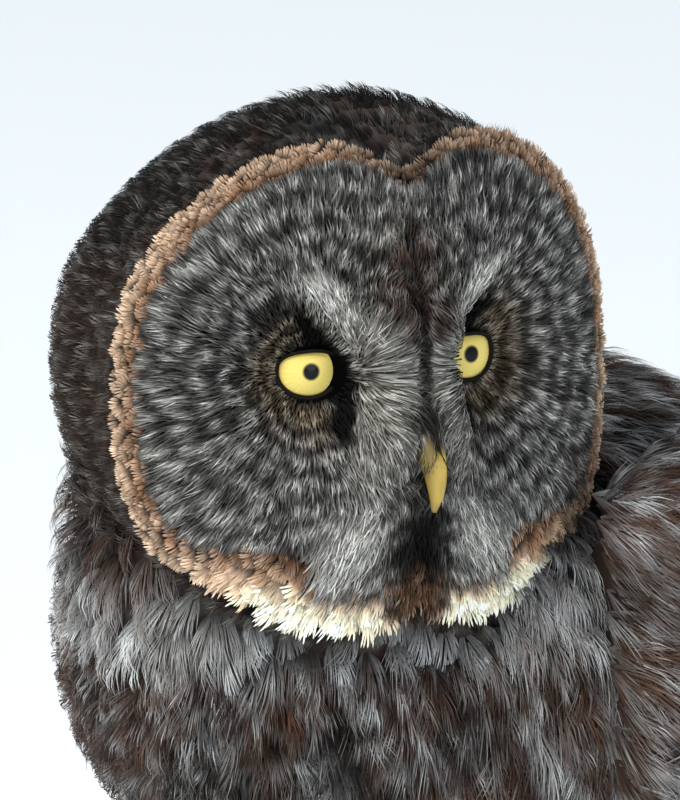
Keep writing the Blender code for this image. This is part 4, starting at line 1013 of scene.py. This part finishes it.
# How far the trunk stands above the wing's own surface, on a grid over the wing.
def makeClearance():
    far = 80.0  # where the rays to the trunk start
    angle, s = np.meshgrid(np.linspace(0, 2 * np.pi, 72, endpoint=False), np.linspace(0, 1, 60))
    points, faces = ringGrid(trunkPoint(angle, s))
    corners = [tuple(f) for f in faces[0].tolist()] + [tuple(f) for f in faces[1].tolist()]
    tree = BVHTree.FromPolygons(points.tolist(), corners)
    p, q = np.meshgrid(gridP, gridQ, indexing="ij")
    base, normal = wingBase(p, q)
    start = base + normal * far
    hits = [tree.ray_cast(Vector(a), Vector(-b), 2 * far)[3]
            for a, b in zip(start.reshape(-1, 3), normal.reshape(-1, 3))]
    height = np.array([-far if h is None else far - h for h in hits]).reshape(p.shape)
    clear = height + wing["clear"]
    return 0.5 * (clear + np.sqrt(clear**2 + wing["clear"] ** 2))


clearance = makeClearance()


def wingPoint(p, q, lift, side):  # p along the wing, q up across it, lift out from the trunk
    p, q, lift = np.broadcast_arrays(p, q, lift)
    a = np.clip((p - gridP[0]) / gridStep, 0, len(gridP) - 1.001)
    b = np.clip((q - gridQ[0]) / gridStep, 0, len(gridQ) - 1.001)
    i, j = a.astype(int), b.astype(int)
    f, g = a - i, b - j
    raised = ((clearance[i, j] * (1 - g) + clearance[i, j + 1] * g) * (1 - f)
              + (clearance[i + 1, j] * (1 - g) + clearance[i + 1, j + 1] * g) * f)
    base, normal = wingBase(p, q)
    return (base + normal * (raised + lift)[..., None]) * np.array([side, 1.0, 1.0])


def gridFaces(count, n, m, flip):  # quads of count grids of n by m points, one after another
    i, j = np.meshgrid(np.arange(n - 1), np.arange(m - 1), indexing="ij")
    quad = np.stack([i * m + j, (i + 1) * m + j, (i + 1) * m + j + 1, i * m + j + 1], -1).reshape(-1, 4)
    quad = quad[:, ::-1] if flip else quad
    return (np.arange(count)[:, None, None] * n * m + quad[None]).reshape(-1, 4)


vane = {"stations": 58, "across": 9, "barEvery": 15.0}


# Colour along a flight feather: dark brown with mottled paler bars that bend back from a dark shaft.
def vaneMarking(along, s, points, seed):
    wavy = along - 3.5 * np.abs(s) + 2.2 * waves(points, 9.0, seed)
    bar = smooth((np.cos(2 * np.pi * wavy / vane["barEvery"]) - 0.05) / 0.5)
    mottle = np.clip(0.55 + 0.6 * waves(points, 3.4, seed + 1), 0, 1)
    blotch = np.clip(0.35 + 0.4 * waves(points, 22.0, seed + 2), 0, 1)
    dark = mix(palette["umber"], palette["brown"], blotch)
    light = mix(palette["brown"], palette["tan"] * 0.8, mottle)
    colour = mix(dark, light, bar * (0.35 + 0.4 * mottle))
    colour = mix(colour, palette["ash"], 0.35 * smooth((np.abs(s) - 0.8) / 0.2))
    return colour * (0.45 + 0.55 * smooth(np.abs(s) / 0.14))[..., None]


# Vanes on a surface: each runs from its root to its tip, widens, and closes in a round tip, with ragged
# edges.
def makeVanes(draw, surface, start, end, half, liftRoot, liftTip, tilt, flip, seed):
    count, n, m = len(half), vane["stations"], vane["across"]
    t = np.linspace(0, 1, n)[None, :, None]
    s = np.linspace(-1, 1, m)[None, None, :]
    ragged = draw.uniform(-1, 1, (count, n, 2))
    edge = np.where(s > 0, ragged[..., 1:], ragged[..., :1])
    tipClose = np.sqrt(1 - 0.97 * np.clip((t - 0.87) / 0.13, 0, 1) ** 2)
    width = (0.55 + 0.45 * smooth(t / 0.35)) * tipClose
    across = s * (1 + 0.05 * edge * np.abs(s) ** 3) * width * half[:, None, None]
    spread = [start[:, k, None, None] + (end - start)[:, k, None, None] * t for k in (0, 1)]
    u = spread[0] - 3.0 * t * np.abs(s) - 1.0 * edge * np.abs(s) ** 6
    v = spread[1] + across
    lift = (liftRoot[:, None, None] + (liftTip - liftRoot)[:, None, None] * t + tilt * s
            + 0.5 * np.exp(-(s / 0.12) ** 2) - 0.3 * s**2)
    points = surface(u, v, lift)
    along = (u - start[:, 0, None, None])
    colour = vaneMarking(along, s + 0 * t + 0 * along, points, seed)
    k = np.arange(count)[:, None, None]
    uv = np.stack([(k + 0.5 + 0.46 * s + 0 * t) / count, 0.005 + 0.99 * t + 0 * s + 0 * k], -1)
    barbLines = np.stack([(along - 0.9 * np.abs(across)) / 0.55 + 37.0 * k, across / 9.0 + 5.0 * k], -1)
    return (points.reshape(-1, 3), [gridFaces(count, n, m, flip)], uv.reshape(-1, 2), colour.reshape(-1, 3),
            barbLines.reshape(-1, 2))


# tier: feathers, root p, tip p of the lowest and highest, root q and tip q of both, half width, lifts
flightTiers = ((14, 156.0, (350.0, 268.0), (-46.0, 47.0), (-34.0, 34.0), 10.0, (-3.4, 2.6)),
               (9, 172.0, (384.0, 462.0), (-46.0, -6.0), (-28.0, 12.0), 12.0, (-5.4, 0.6)))


def makeFlight(name, side):
    draw = np.random.default_rng(110 + side)
    tiers = []
    for count, rootP, tipP, rootQ, tipQ, wide, lifts in flightTiers:
        k = np.linspace(0, 1, count)
        start = np.stack([rootP + 0 * k, rootQ[0] + (rootQ[1] - rootQ[0]) * k], -1)
        end = np.stack([tipP[0] + (tipP[1] - tipP[0]) * k + draw.uniform(-2, 2, count),
                        tipQ[0] + (tipQ[1] - tipQ[0]) * k], -1)
        tiers.append((start, end, np.full(count, wide), np.full(count, lifts[0]), lifts[1] + 0.5 * k))
    points, faces, uv, colour, barbLines = makeVanes(
        draw, lambda p, q, lift: wingPoint(p, q, lift, side), *[np.concatenate(v) for v in zip(*tiers)],
        wing["tilt"], side < 0, 120)
    addPiece(name, points, faces, flightFinish, uv, colour, (), barbLines)


covert = {"barbs": 20, "stations": 4, "barbWidth": 0.5, "lean": 3.0, "behind": 0.5, "sink": 1.2,
          "crown": 0.9, "ragged": 0.1, "turn": 0.05, "length": 15.0, "grows": 0.16, "step": 4.2,
          "spacing": 4.7, "wider": 0.032, "first": 8.0, "last": 198.0, "lift": 3.4, "roll": 0.15,
          "vary": 0.2, "root": 0.6}
shoulder = {"barbs": 34, "stations": 3, "barbWidth": 0.48, "lean": 2.2, "behind": 0.45, "sink": 2.0,
            "crown": 0.8, "ragged": 0.25, "turn": 0.2, "vary": 0.22}


def wingFans(draw, form, side, p, q, length, width, lift, lean, colourOf):
    point, way, normal = surfaceFrame(lambda a, b: wingPoint(b, a, 0.0, side), q, p, 1.0)
    normal = normal * -side
    way = way + lean * np.cross(normal, way) * side
    rootUv = np.stack([(p + 30) / 280.0, (q + 90) / 180.0], -1)
    droop = length**2 / 900.0 + 0.4
    return fanFeathers(draw, form, point, way, normal, length, width, lift, droop, colourOf, rootUv)


def wingPad(side):  # the form under the coverts, painted dark as shade in their gaps
    t = np.linspace(0, 1, 26)[:, None]
    angle = np.linspace(0, 2 * np.pi, 48, endpoint=False)[None, :]
    widest = (t - 0.55) / np.where(t < 0.55, 0.62, 0.455)
    half = wing["padHalf"] * np.sqrt(np.clip(1 - widest**2, 0.02, 1))
    swell = np.sin(angle)
    lift = np.where(swell > 0, swell * 2.0, swell * wing["padThick"] * 2.0) - 2.4
    return bareForm(*ringGrid(wingPoint(6.0 + wing["padLength"] * t, half * np.cos(angle), lift, side)))


def wingCoverts(draw, side):  # rows of coverts from the wrist down the wing, larger row by row
    p, q, here = [], [], covert["first"]
    while here < covert["last"]:
        low = np.interp(here, [3, 30, 80, 200], [-30, -38, -47, -51])
        high = np.interp(here, [3, 30, 80, 200], [38, 47, 54, 53])
        count = int((high - low) / (covert["spacing"] + covert["wider"] * here))
        k = (np.arange(count) + draw.uniform(0.2, 0.8, count)) / count
        q.append(low + (high - low) * k)
        p.append(here + draw.uniform(-1.5, 1.5, count))
        here += covert["step"] + 0.03 * here
    p, q = np.concatenate(p), np.concatenate(q)
    count = len(p)
    length = (covert["length"] + covert["grows"] * p) * draw.uniform(0.9, 1.12, count)
    width = (covert["spacing"] + covert["wider"] * p) * 1.55
    lift = covert["lift"] * draw.uniform(0.85, 1.15, count)
    fringe = draw.uniform(0, 1, count)

    def covertColour(share, across, points):
        blotch = np.clip(0.6 + 0.5 * waves(points, 26.0, 131), 0, 1)
        ground = mix(tone(68, 46, 33), tone(124, 84, 57), blotch)
        ground = ground * (0.95 + 0.3 * np.clip(waves(points, 3.0, 132), -1, 1))[..., None]
        lower = smooth((-side * across - 0.25) / 0.4) * smooth((share - 0.3) / 0.2)
        tip = smooth((share - 0.85) / 0.1)
        wisp = smooth((waves(points * np.array([0.5, 0.35, 1.4]), 7.0, 133) - 0.05) / 0.5)
        pale = np.clip(0.85 * lower * wisp + 0.35 * tip * wisp, 0, 1)
        pale = pale * (0.35 + 0.65 * (fringe > 0.3))[:, None, None]
        spot = tip * (fringe > 0.86)[:, None, None]
        colour = mix(ground, mix(palette["tan"] * 0.9, palette["pale"], 0.15 + 0 * share), 0.7 * pale)
        colour = mix(colour, palette["pale"], 0.75 * spot)
        # painted shade: darker towards each covert's root
        return colour * (0.3 + 0.75 * smooth(share / 0.6))[..., None]

    return wingFans(draw, covert, side, p, q, length, width, lift, -0.06, covertColour)


# Body feathers over the wing's upper edge, its front edge and wrist, and its lower edge. Each set: places
# along and across the wing, lanes, length, width, lift and lean.
def wingShoulder(draw, side):
    made = []
    hidden = 30.0 if side < 0 else 15.0  # how far the breast's feathers reach over the wing's front
    sets = ((np.arange(4, 196, 4.6), (42.0, 64.0), 4, 21.0, 12.0, 5.4, -0.16),
            (np.arange(2.5, hidden, 4.0), (-44.0, 40.0), 18, 21.0, 12.0, 7.0, -0.8),
            (np.arange(6, 90, 5.5), (-60.0, -44.0), 4, 27.0, 14.0, 5.4, 0.25))
    for row, (along, across, lanes, long, wide, high, lean) in enumerate(sets):
        p, q = np.meshgrid(along, np.linspace(across[0], across[1], lanes))
        p = np.maximum(p + draw.uniform(-2.5, 2.5, p.shape), 2.0).ravel()
        q = (q + draw.uniform(-3.0, 3.0, q.shape)).ravel()
        q = q * np.interp(p, [0, 60], [0.6, 1.0]) if row == 0 else q
        count = len(p)
        paleness = np.clip(0.5 + draw.normal(0, 0.35, count), 0, 1)

        def shoulderColour(share, across, points, paleness=paleness):
            mottle = np.clip(0.5 + 0.9 * waves(points, 8.5, 134), 0, 1)
            edge = smooth((np.abs(across) - 0.15) / 0.5) * smooth((share - 0.4) / 0.3)
            pale = (0.4 + 0.6 * edge) * mottle**1.2 * (0.35 + 0.8 * paleness)[:, None, None]
            # painted shade: darker towards each feather's root
            return bodyMarking(points, pale) * (0.35 + 0.85 * smooth(share / 0.6))[..., None]

        length = long * draw.uniform(0.8, 1.15, count)
        width = wide * draw.uniform(0.9, 1.1, count)
        lift = high * draw.uniform(0.8, 1.15, count)
        made.append(wingFans(draw, shoulder, side, p, q, length, width, lift, lean, shoulderColour))
    return made


def makeCoverts(name, side):
    draw = np.random.default_rng(130 + side)
    made = [wingPad(side), wingCoverts(draw, side)] + wingShoulder(draw, side)
    addCoat(name, made, ("wing_" + ("left" if side > 0 else "right"),))


makeFlight("wing_quills_left", 1)
makeFlight("wing_quills_right", -1)
makeCoverts("wing_coverts_left", 1)
makeCoverts("wing_coverts_right", -1)

# tail: twelve vanes in a shallow fan, a root, and coverts above and below

tail = {"root": (0.0, 150.0, 97.0), "slope": 13.0, "length": 250.0, "feathers": 12, "step": 1.4, "fan": 1.9,
        "sag": 0.00012, "halfFeather": 13.5, "rootStep": 4.4}


def tailPoint(u, v, lift):  # u along the tail from the rump, v to the left, lift above it
    u, v, lift = np.broadcast_arrays(u, v, lift)
    c, s = np.cos(np.radians(tail["slope"])), np.sin(np.radians(tail["slope"]))
    high = lift - tail["sag"] * u**2
    return np.array(tail["root"]) + np.stack([v, c * u + s * high, c * high - s * u], -1)


def makeTailQuills(draw):
    i = np.arange(tail["feathers"]) - (tail["feathers"] - 1) / 2
    rank = np.abs(i)
    length = tail["length"] - 3.2 * rank**1.6
    turn = np.radians(i * tail["fan"])
    start = np.stack([8.0 + 0 * i, i * tail["rootStep"]], -1)
    end = np.stack([length * np.cos(turn), i * tail["rootStep"] * 1.14 + length * np.sin(turn)], -1)
    lift = -tail["step"] * rank
    points, faces, uv, colour, barbLines = makeVanes(
        draw, tailPoint, start, end, tail["halfFeather"] + 0 * i, lift * 0.9, lift, 0.0, True, 151)
    addPiece("tail_quills", points, faces, flightFinish, uv, colour, (), barbLines)


def makeTailCoverts(draw):
    u = np.linspace(-30, 48, 20)
    rows = np.array([(20, 10, -4), (27, 11, -4), (31, 9, -4.5), (30, 6, -5), (22, 2.4, -5.2)], float)
    rows = curveThrough(rows, np.linspace(0, 1, 20))
    made = [bareForm(*ringGrid(tubeRings(tailPoint(u, 0.0, rows[:, 2]), rows[:, 0], rows[:, 1], 32)))]
    for above in (1, -1):
        u, v = np.meshgrid(np.arange(-22, 62, 6.0), np.linspace(-1, 1, 9))
        u = (u + draw.uniform(-2, 2, u.shape)).ravel()
        v = (v * 27.0).ravel() + draw.uniform(-2.5, 2.5, u.size)
        count = len(u)
        flat = np.sqrt(np.clip(1 - (v / 32.0) ** 2, 0.05, 1))
        lift = above * ((7.0 if above > 0 else 9.0) * flat - 0.05 * np.maximum(u, 0)) - 4.0
        root = tailPoint(u, v, lift)
        way = tailPoint(u + 1, v * 1.006, lift) - root
        out = np.stack([v / 40.0, 0.22 * above + 0 * v, above * (0.5 + flat)], -1)
        normal = unit(out - (out * unit(way)).sum(-1, keepdims=True) * unit(way))
        long = (20.0 + 0.32 * np.maximum(u, 0)) * draw.uniform(0.85, 1.15, count)
        paleness = np.clip(0.45 + draw.normal(0, 0.3, count), 0, 1)

        def tailColour(share, across, points, paleness=paleness, long=long, above=above):
            bars = smooth(np.cos(0.2 * np.pi * (share * long[:, None, None] - 3 * np.abs(across))) / 0.6)
            pale = bars * (0.35 + 0.5 * paleness[:, None, None]) + (0.2 if above < 0 else 0.0)
            # painted shade: darker towards each feather's root
            return bodyMarking(points, pale) * (0.35 + 0.7 * smooth(share / 0.5))[..., None]

        made.append(fanFeathers(draw, shoulder, root, way, normal, long, 15.0 + 0 * long,
                                3.4 * draw.uniform(0.85, 1.15, count), long**2 / 900.0 + 0.3, tailColour,
                                np.stack([0.5 + v / 80.0, (u + 40) / 220.0 + 0.5 * (above < 0)], -1)))
    addCoat("tail_coverts", made, ("tail",))


tailDraw = np.random.default_rng(150)
makeTailQuills(tailDraw)
makeTailCoverts(tailDraw)

# legs and feet: small downy feathers on the skin, down the legs and out along the toes

legCoat = {"barbs": 16, "stations": 4, "barbWidth": 0.6, "lean": 1.8, "behind": 0.45, "sink": 1.2,
           "crown": 0.6, "ragged": 0.25, "turn": 0.3, "share": 0.2, "length": 15.0, "width": 8.0,
           "lift": 4.4}
toeCoat = dict(legCoat, barbs=9, stations=3, barbWidth=0.45, sink=0.5, crown=0.3, length=5.2, width=3.0,
               lift=1.5)


def makeLegs():
    draw = np.random.default_rng(160)
    x, y, z = skinPoints.T
    side = np.sign(x)
    ankle = np.stack([side * leg[-1, 0], leg[-1, 1] + 0 * x], -1)
    reach = np.stack([x, y], -1) - ankle
    away = np.hypot(reach[:, 0], reach[:, 1])
    low = smooth((24 - z) / 5)
    onLeg = (z < 84) & (z > 18) & (y > -60) & (y < 90) & (draw.uniform(0, 1, len(x)) < legCoat["share"])
    onToe = (z < 22) & (z > 3.2) & (skinNormals[:, 2] > -0.35)
    coats = []
    for form, keep in ((legCoat, onLeg), (toeCoat, onToe)):
        root, normal = skinPoints[keep], unit(skinNormals[keep])
        count = len(root)
        out = np.concatenate([reach / np.maximum(away, 1.0)[:, None], np.full((len(x), 1), -0.25)], 1)
        down = np.array([0.0, 0.0, -1.0]) + 0 * skinNormals
        share = (low * smooth((away - 10) / 6))[:, None]
        way = (down * (1 - share) + out * share)[keep]
        lift = form["lift"] * draw.uniform(0.8, 1.2, count)
        paleness = np.clip(0.55 + 0.4 * waves(root, 14.0, 161) + draw.normal(0, 0.2, count), 0, 1)

        def legColour(share, across, points, paleness=paleness):
            pale = (0.25 + 0.8 * paleness)[:, None, None] * (0.4 + 0.6 * smooth((share - 0.3) / 0.4))
            # painted shade: darker towards each feather's root
            return bodyMarking(points, pale) * (0.4 + 0.65 * smooth(share / 0.5))[..., None]

        around = np.arctan2(reach[keep, 1], np.abs(reach[keep, 0]))
        mapX = 0.25 + 0.035 * around + 0.5 * (root[:, 0] > 0) + 0.0012 * away[keep] * np.cos(around)
        mapZ = 0.02 + 0.0105 * root[:, 2] + 0.0009 * away[keep] * np.sin(around)
        rootUv = np.stack([mapX, mapZ], -1)
        length = form["length"] * draw.uniform(0.8, 1.2, count)
        made = fanFeathers(draw, form, root, way, normal, length, np.full(count, form["width"]), lift,
                           np.full(count, 0.06 * form["length"]), legColour, rootUv)
        made[0][:, 2] = np.maximum(made[0][:, 2], 0.4)  # no tip reaches the floor
        coats.append(made)
    addCoat("leg_feathers", coats)


makeLegs()

# claws: tapered arcs ahead of the toes

claw = {"length": 22.0, "half": 3.0, "stations": 28, "sides": 18}


def makeClaws():
    parts = []
    t = np.linspace(0, 1, claw["stations"])
    for side in (1.0, -1.0):
        for toe in toes:
            line, way = toeLine(toe, 12)
            end = line[-1]
            reach = -4.0 + claw["length"] * 0.80 * t
            height = end[2] + 1.6 * np.sin(t * np.pi * 0.9) - 4.6 * t**2 + 0.2
            path = np.stack([end[0] + way[0] * reach, end[1] + way[1] * reach, height], 1)
            half = claw["half"] * (1 - t**1.3 * 0.93)
            rings = tubeRings(path, half * 0.8, half, claw["sides"], across=(way[1], -way[0], 0.0))
            parts.append(ringGrid(rings * np.array([side, 1.0, 1.0])))
    points, faces = joinParts(parts)
    names = ["claw_" + side + "_" + toe for side in ("left", "right") for toe in toes]
    finish = grainMaterial("claw_horn", 0.28, 420.0, 0.9, colour=(0.022, 0.018, 0.016, 1), Coat_Weight=0.4,
                           Coat_Roughness=0.15)
    addPiece("claws", points, faces, finish, None, None, names)


makeClaws()

# eyes

def eyeTurnTo(side, points):  # from the eye's own frame, looking along -y, to the owl's
    centre = np.array([side * eyes["out"], -(eyes["front"] - eyes["radius"]), 0.0])
    return headToOwl(points @ turnZ(side * eyes["turn"][side]).T + centre)


def makeEyeMaterial():
    made, shader = newMaterial("iris", 0.3, Coat_Weight=0.2, Coat_Roughness=0.02, Specular_IOR_Level=0.1)
    made.node_tree.links.new(readMarking(made.node_tree), shader.inputs["Base Color"])
    return made


eyeFinish = makeEyeMaterial()


def makeEye(side, name):
    tilt = np.linspace(0.01, np.pi - 0.01, 96)[:, None]
    angle = np.linspace(0, 2 * np.pi, 96, endpoint=False)[None, :]
    across = np.sin(tilt)
    ball = np.stack([across * np.cos(angle), -np.cos(tilt) + 0 * angle, across * np.sin(angle)], -1)
    points, faces = ringGrid(ball * eyes["radius"])
    # round the opening the ball lies deeper, so that the coat covers it
    high = np.where(points[:, 2] > 0, eyes["above"], eyes["below"])
    away = np.where(points[:, 1] > 0, 9.0, np.hypot(points[:, 0] / eyes["wide"], points[:, 2] / high))
    points = points * (1 - 0.1 * smooth((away - 1.05) / 0.25))[:, None]
    x, y, z = points.T
    out = np.where(y > 0, 99, np.hypot(x, z))
    around = np.arctan2(z, x)
    ray = 0.5 + 0.5 * np.sin(around * 46 + 3 * np.sin(around * 7))
    yellow = mix(tone(236, 216, 122), tone(222, 192, 92), 0.5 * ray)
    rim = smooth((out - eyes["iris"] + 1.8) / 1.6)
    yellow = mix(yellow, tone(196, 150, 56), 0.6 * rim)
    # painted shadow of the upper lid: the top of the iris turns darker olive
    yellow = mix(yellow, tone(150, 134, 62), 0.75 * smooth((z - 2.8) / 3.4))
    rise = np.sqrt(np.clip(1 - (x / eyes["wide"]) ** 2, 0, 1))
    shut = (z > eyes["above"] * rise ** eyes["flatTop"]) | (z < -eyes["below"] * rise)
    yellow = np.where(shut[:, None], palette["black"] * 0.3, yellow)
    colour = mix(yellow, palette["black"] * 0.3, smooth((out - eyes["iris"]) / 0.5))
    colour = mix(palette["black"] * 0.1 + 0 * colour, colour, smooth((out - eyes["pupil"] + 0.15) / 0.3))
    addPiece("eyeball_" + name, eyeTurnTo(side, points), faces, eyeFinish, None, colour,
             ("eye_" + name,))


makeEye(1, "left")
makeEye(-1, "right")

# lids: a dark rim round each opening

lids = {"thick": 0.55, "ahead": 0.9, "round": 96, "sides": 14}
lidFinish, _ = newMaterial("lid_rim", 0.5, Specular_IOR_Level=0.06, Base_Color=(0.008, 0.006, 0.005, 1))


def makeLids():
    parts = []
    for side in (-1, 1):
        around = np.linspace(0, 2 * np.pi, lids["round"], endpoint=False)
        rise = np.sin(around)
        x = eyes["wide"] * np.cos(around)
        z = np.where(rise > 0, eyes["above"] * np.abs(rise) ** eyes["flatTop"], eyes["below"] * rise)
        out = np.hypot(x, z)
        ahead = np.sqrt((eyes["radius"] + lids["ahead"]) ** 2 - out**2)
        middleLine = np.stack([x, -ahead, z], -1)
        away = np.stack([x / out, 0 * x, z / out], -1)
        forward = unit(middleLine)
        angle = np.linspace(0, 2 * np.pi, lids["sides"], endpoint=False)[None, :, None]
        roll = lids["thick"] * (np.cos(angle) * away[:, None] + np.sin(angle) * forward[:, None] * 0.7)
        points = (middleLine[:, None] + roll).reshape(-1, 3)
        parts.append((eyeTurnTo(side, points), [loopQuads(lids["round"], lids["sides"], len(points))]))
    points, faces = joinParts(parts)
    addPiece("lids", points, faces, lidFinish, None, None)


makeLids()

# bill

bill = {  # y, z, half width and half height down the middle of each part
        "upper": ((-28.0, -14.0, 5.0, 5.6), (-38.0, -16.5, 5.0, 5.4), (-45.0, -21.5, 4.5, 4.7),
                  (-49.0, -28.0, 3.7, 3.7), (-50.0, -35.0, 2.5, 2.4), (-48.3, -41.3, 0.8, 0.8)),
        "lower": ((-28.0, -25.0, 4.0, 3.0), (-36.0, -27.5, 3.8, 2.8), (-41.0, -31.0, 3.1, 2.3),
                  (-44.0, -36.0, 1.4, 1.1))}
billFinish = grainMaterial("bill_horn", 0.42, 260.0, 0.25, Coat_Weight=0.2, Coat_Roughness=0.3)


def makeBill(name, stations, replaced):
    count, sides = 48, 40
    t = np.linspace(0, 1, count)
    rows = curveThrough(stations, t)
    line = np.stack([0 * t, rows[:, 0], rows[:, 1]], 1)
    points, faces = ringGrid(tubeRings(line, rows[:, 2], rows[:, 3], sides))
    t = np.r_[np.repeat(t, sides), 0, 1]
    streak = np.clip(0.5 + 0.5 * waves(points * np.array([1.0, 1.0, 0.25]), 3.2, 77), 0, 1)
    colour = mix(tone(34, 27, 16), tone(212, 180, 74), smooth((t - 0.3) / 0.4) * (0.7 + 0.3 * streak))
    # painted shade: the bill's near side (x negative) is darker, as if in shadow
    colour = colour * (0.3 + 0.7 * smooth((points[:, 0] + 4.2) / 5.0))[:, None]
    colour = mix(colour, tone(120, 92, 52), 0.8 * smooth((t - 0.8) / 0.2))
    addPiece(name, headToOwl(points), faces, billFinish, None, colour, replaced)


makeBill("bill_top", bill["upper"], ("bill_upper",))
makeBill("bill_under", bill["lower"], ("bill_lower",))

# floor, light and camera

view = {"azimuth": 28.0, "elevation": 11.0, "pixelsPerMm": 3.42, "picture": (680, 800),
        "headAt": (344.8, 352.2), "distance": 3.0}
studio = {"floor": (0.87, 0.91, 0.92, 1), "glow": (0.88, 0.95, 1.0, 1), "glowStrength": 0.13, "half": 40.0,
          "sky": (0.86, 0.92, 1.0, 1), "skyStrength": 0.64, "lampTarget": (0.0, -0.15, 0.25)}
lamps = {  # place, power, size and colour
    "key": ((-1.4, -4.6, 4.5), 325.0, 1.6, (1.0, 0.97, 0.92)),
    "fill": ((2.4, -1.4, 0.9), 16.0, 1.6, (0.9, 0.95, 1.0))}


def makeStage():
    floorFinish, _ = newMaterial("floor", 0.9, Base_Color=studio["floor"], Emission_Color=studio["glow"],
                                 Emission_Strength=studio["glowStrength"])
    size = studio["half"]
    sheet = np.array([(-size, -size, 0), (size, -size, 0), (size, size, 0), (-size, size, 0)]) / mm + middle
    floor = arrayMesh("floor", sheet, [np.array([[0, 1, 2, 3]])], floorFinish)
    world = bpy.data.worlds.new("studio")
    bpy.context.scene.world = world
    world.use_nodes = True
    background = world.node_tree.nodes["Background"]
    background.inputs["Color"].default_value = studio["sky"]
    background.inputs["Strength"].default_value = studio["skyStrength"]


def addLight(name, place, power, size, colour):
    lamp = bpy.data.lights.new(name, "AREA")
    lamp.energy = power
    lamp.shape = "DISK"
    lamp.size = size
    lamp.color = colour
    obj = bpy.data.objects.new(name, lamp)
    bpy.context.scene.collection.objects.link(obj)
    obj.location = place
    obj.rotation_mode = "QUATERNION"
    obj.rotation_quaternion = (Vector(studio["lampTarget"]) - Vector(place)).to_track_quat("-Z", "Y")


def makeCamera():
    a, e = np.radians(view["azimuth"]), np.radians(view["elevation"])
    back = np.array([np.sin(a) * np.cos(e), -np.cos(a) * np.cos(e), np.sin(e)])
    right = np.array([np.cos(a), np.sin(a), 0.0])
    up = np.cross(back, right)
    scale = view["pixelsPerMm"] / mm
    wide, high = view["picture"]
    centre = ((headCentre - middle) * mm + right * (wide / 2 - view["headAt"][0]) / scale
              - up * (high / 2 - view["headAt"][1]) / scale)
    camera = bpy.data.objects.new("camera", bpy.data.cameras.new("camera"))
    bpy.context.scene.collection.objects.link(camera)
    camera.location = centre + back * view["distance"]
    camera.rotation_mode = "QUATERNION"
    camera.rotation_quaternion = (-Vector(back)).to_track_quat("-Z", "Y")
    camera.data.sensor_fit = "VERTICAL"
    camera.data.sensor_height = 36.0
    camera.data.lens = 36.0 * view["distance"] / (high / scale)
    camera.data.clip_end = 100.0
    bpy.context.scene.camera = camera


makeStage()
for lamp, values in lamps.items():
    addLight(lamp, *values)
makeCamera()
bpy.context.scene.view_settings.view_transform = "Standard"
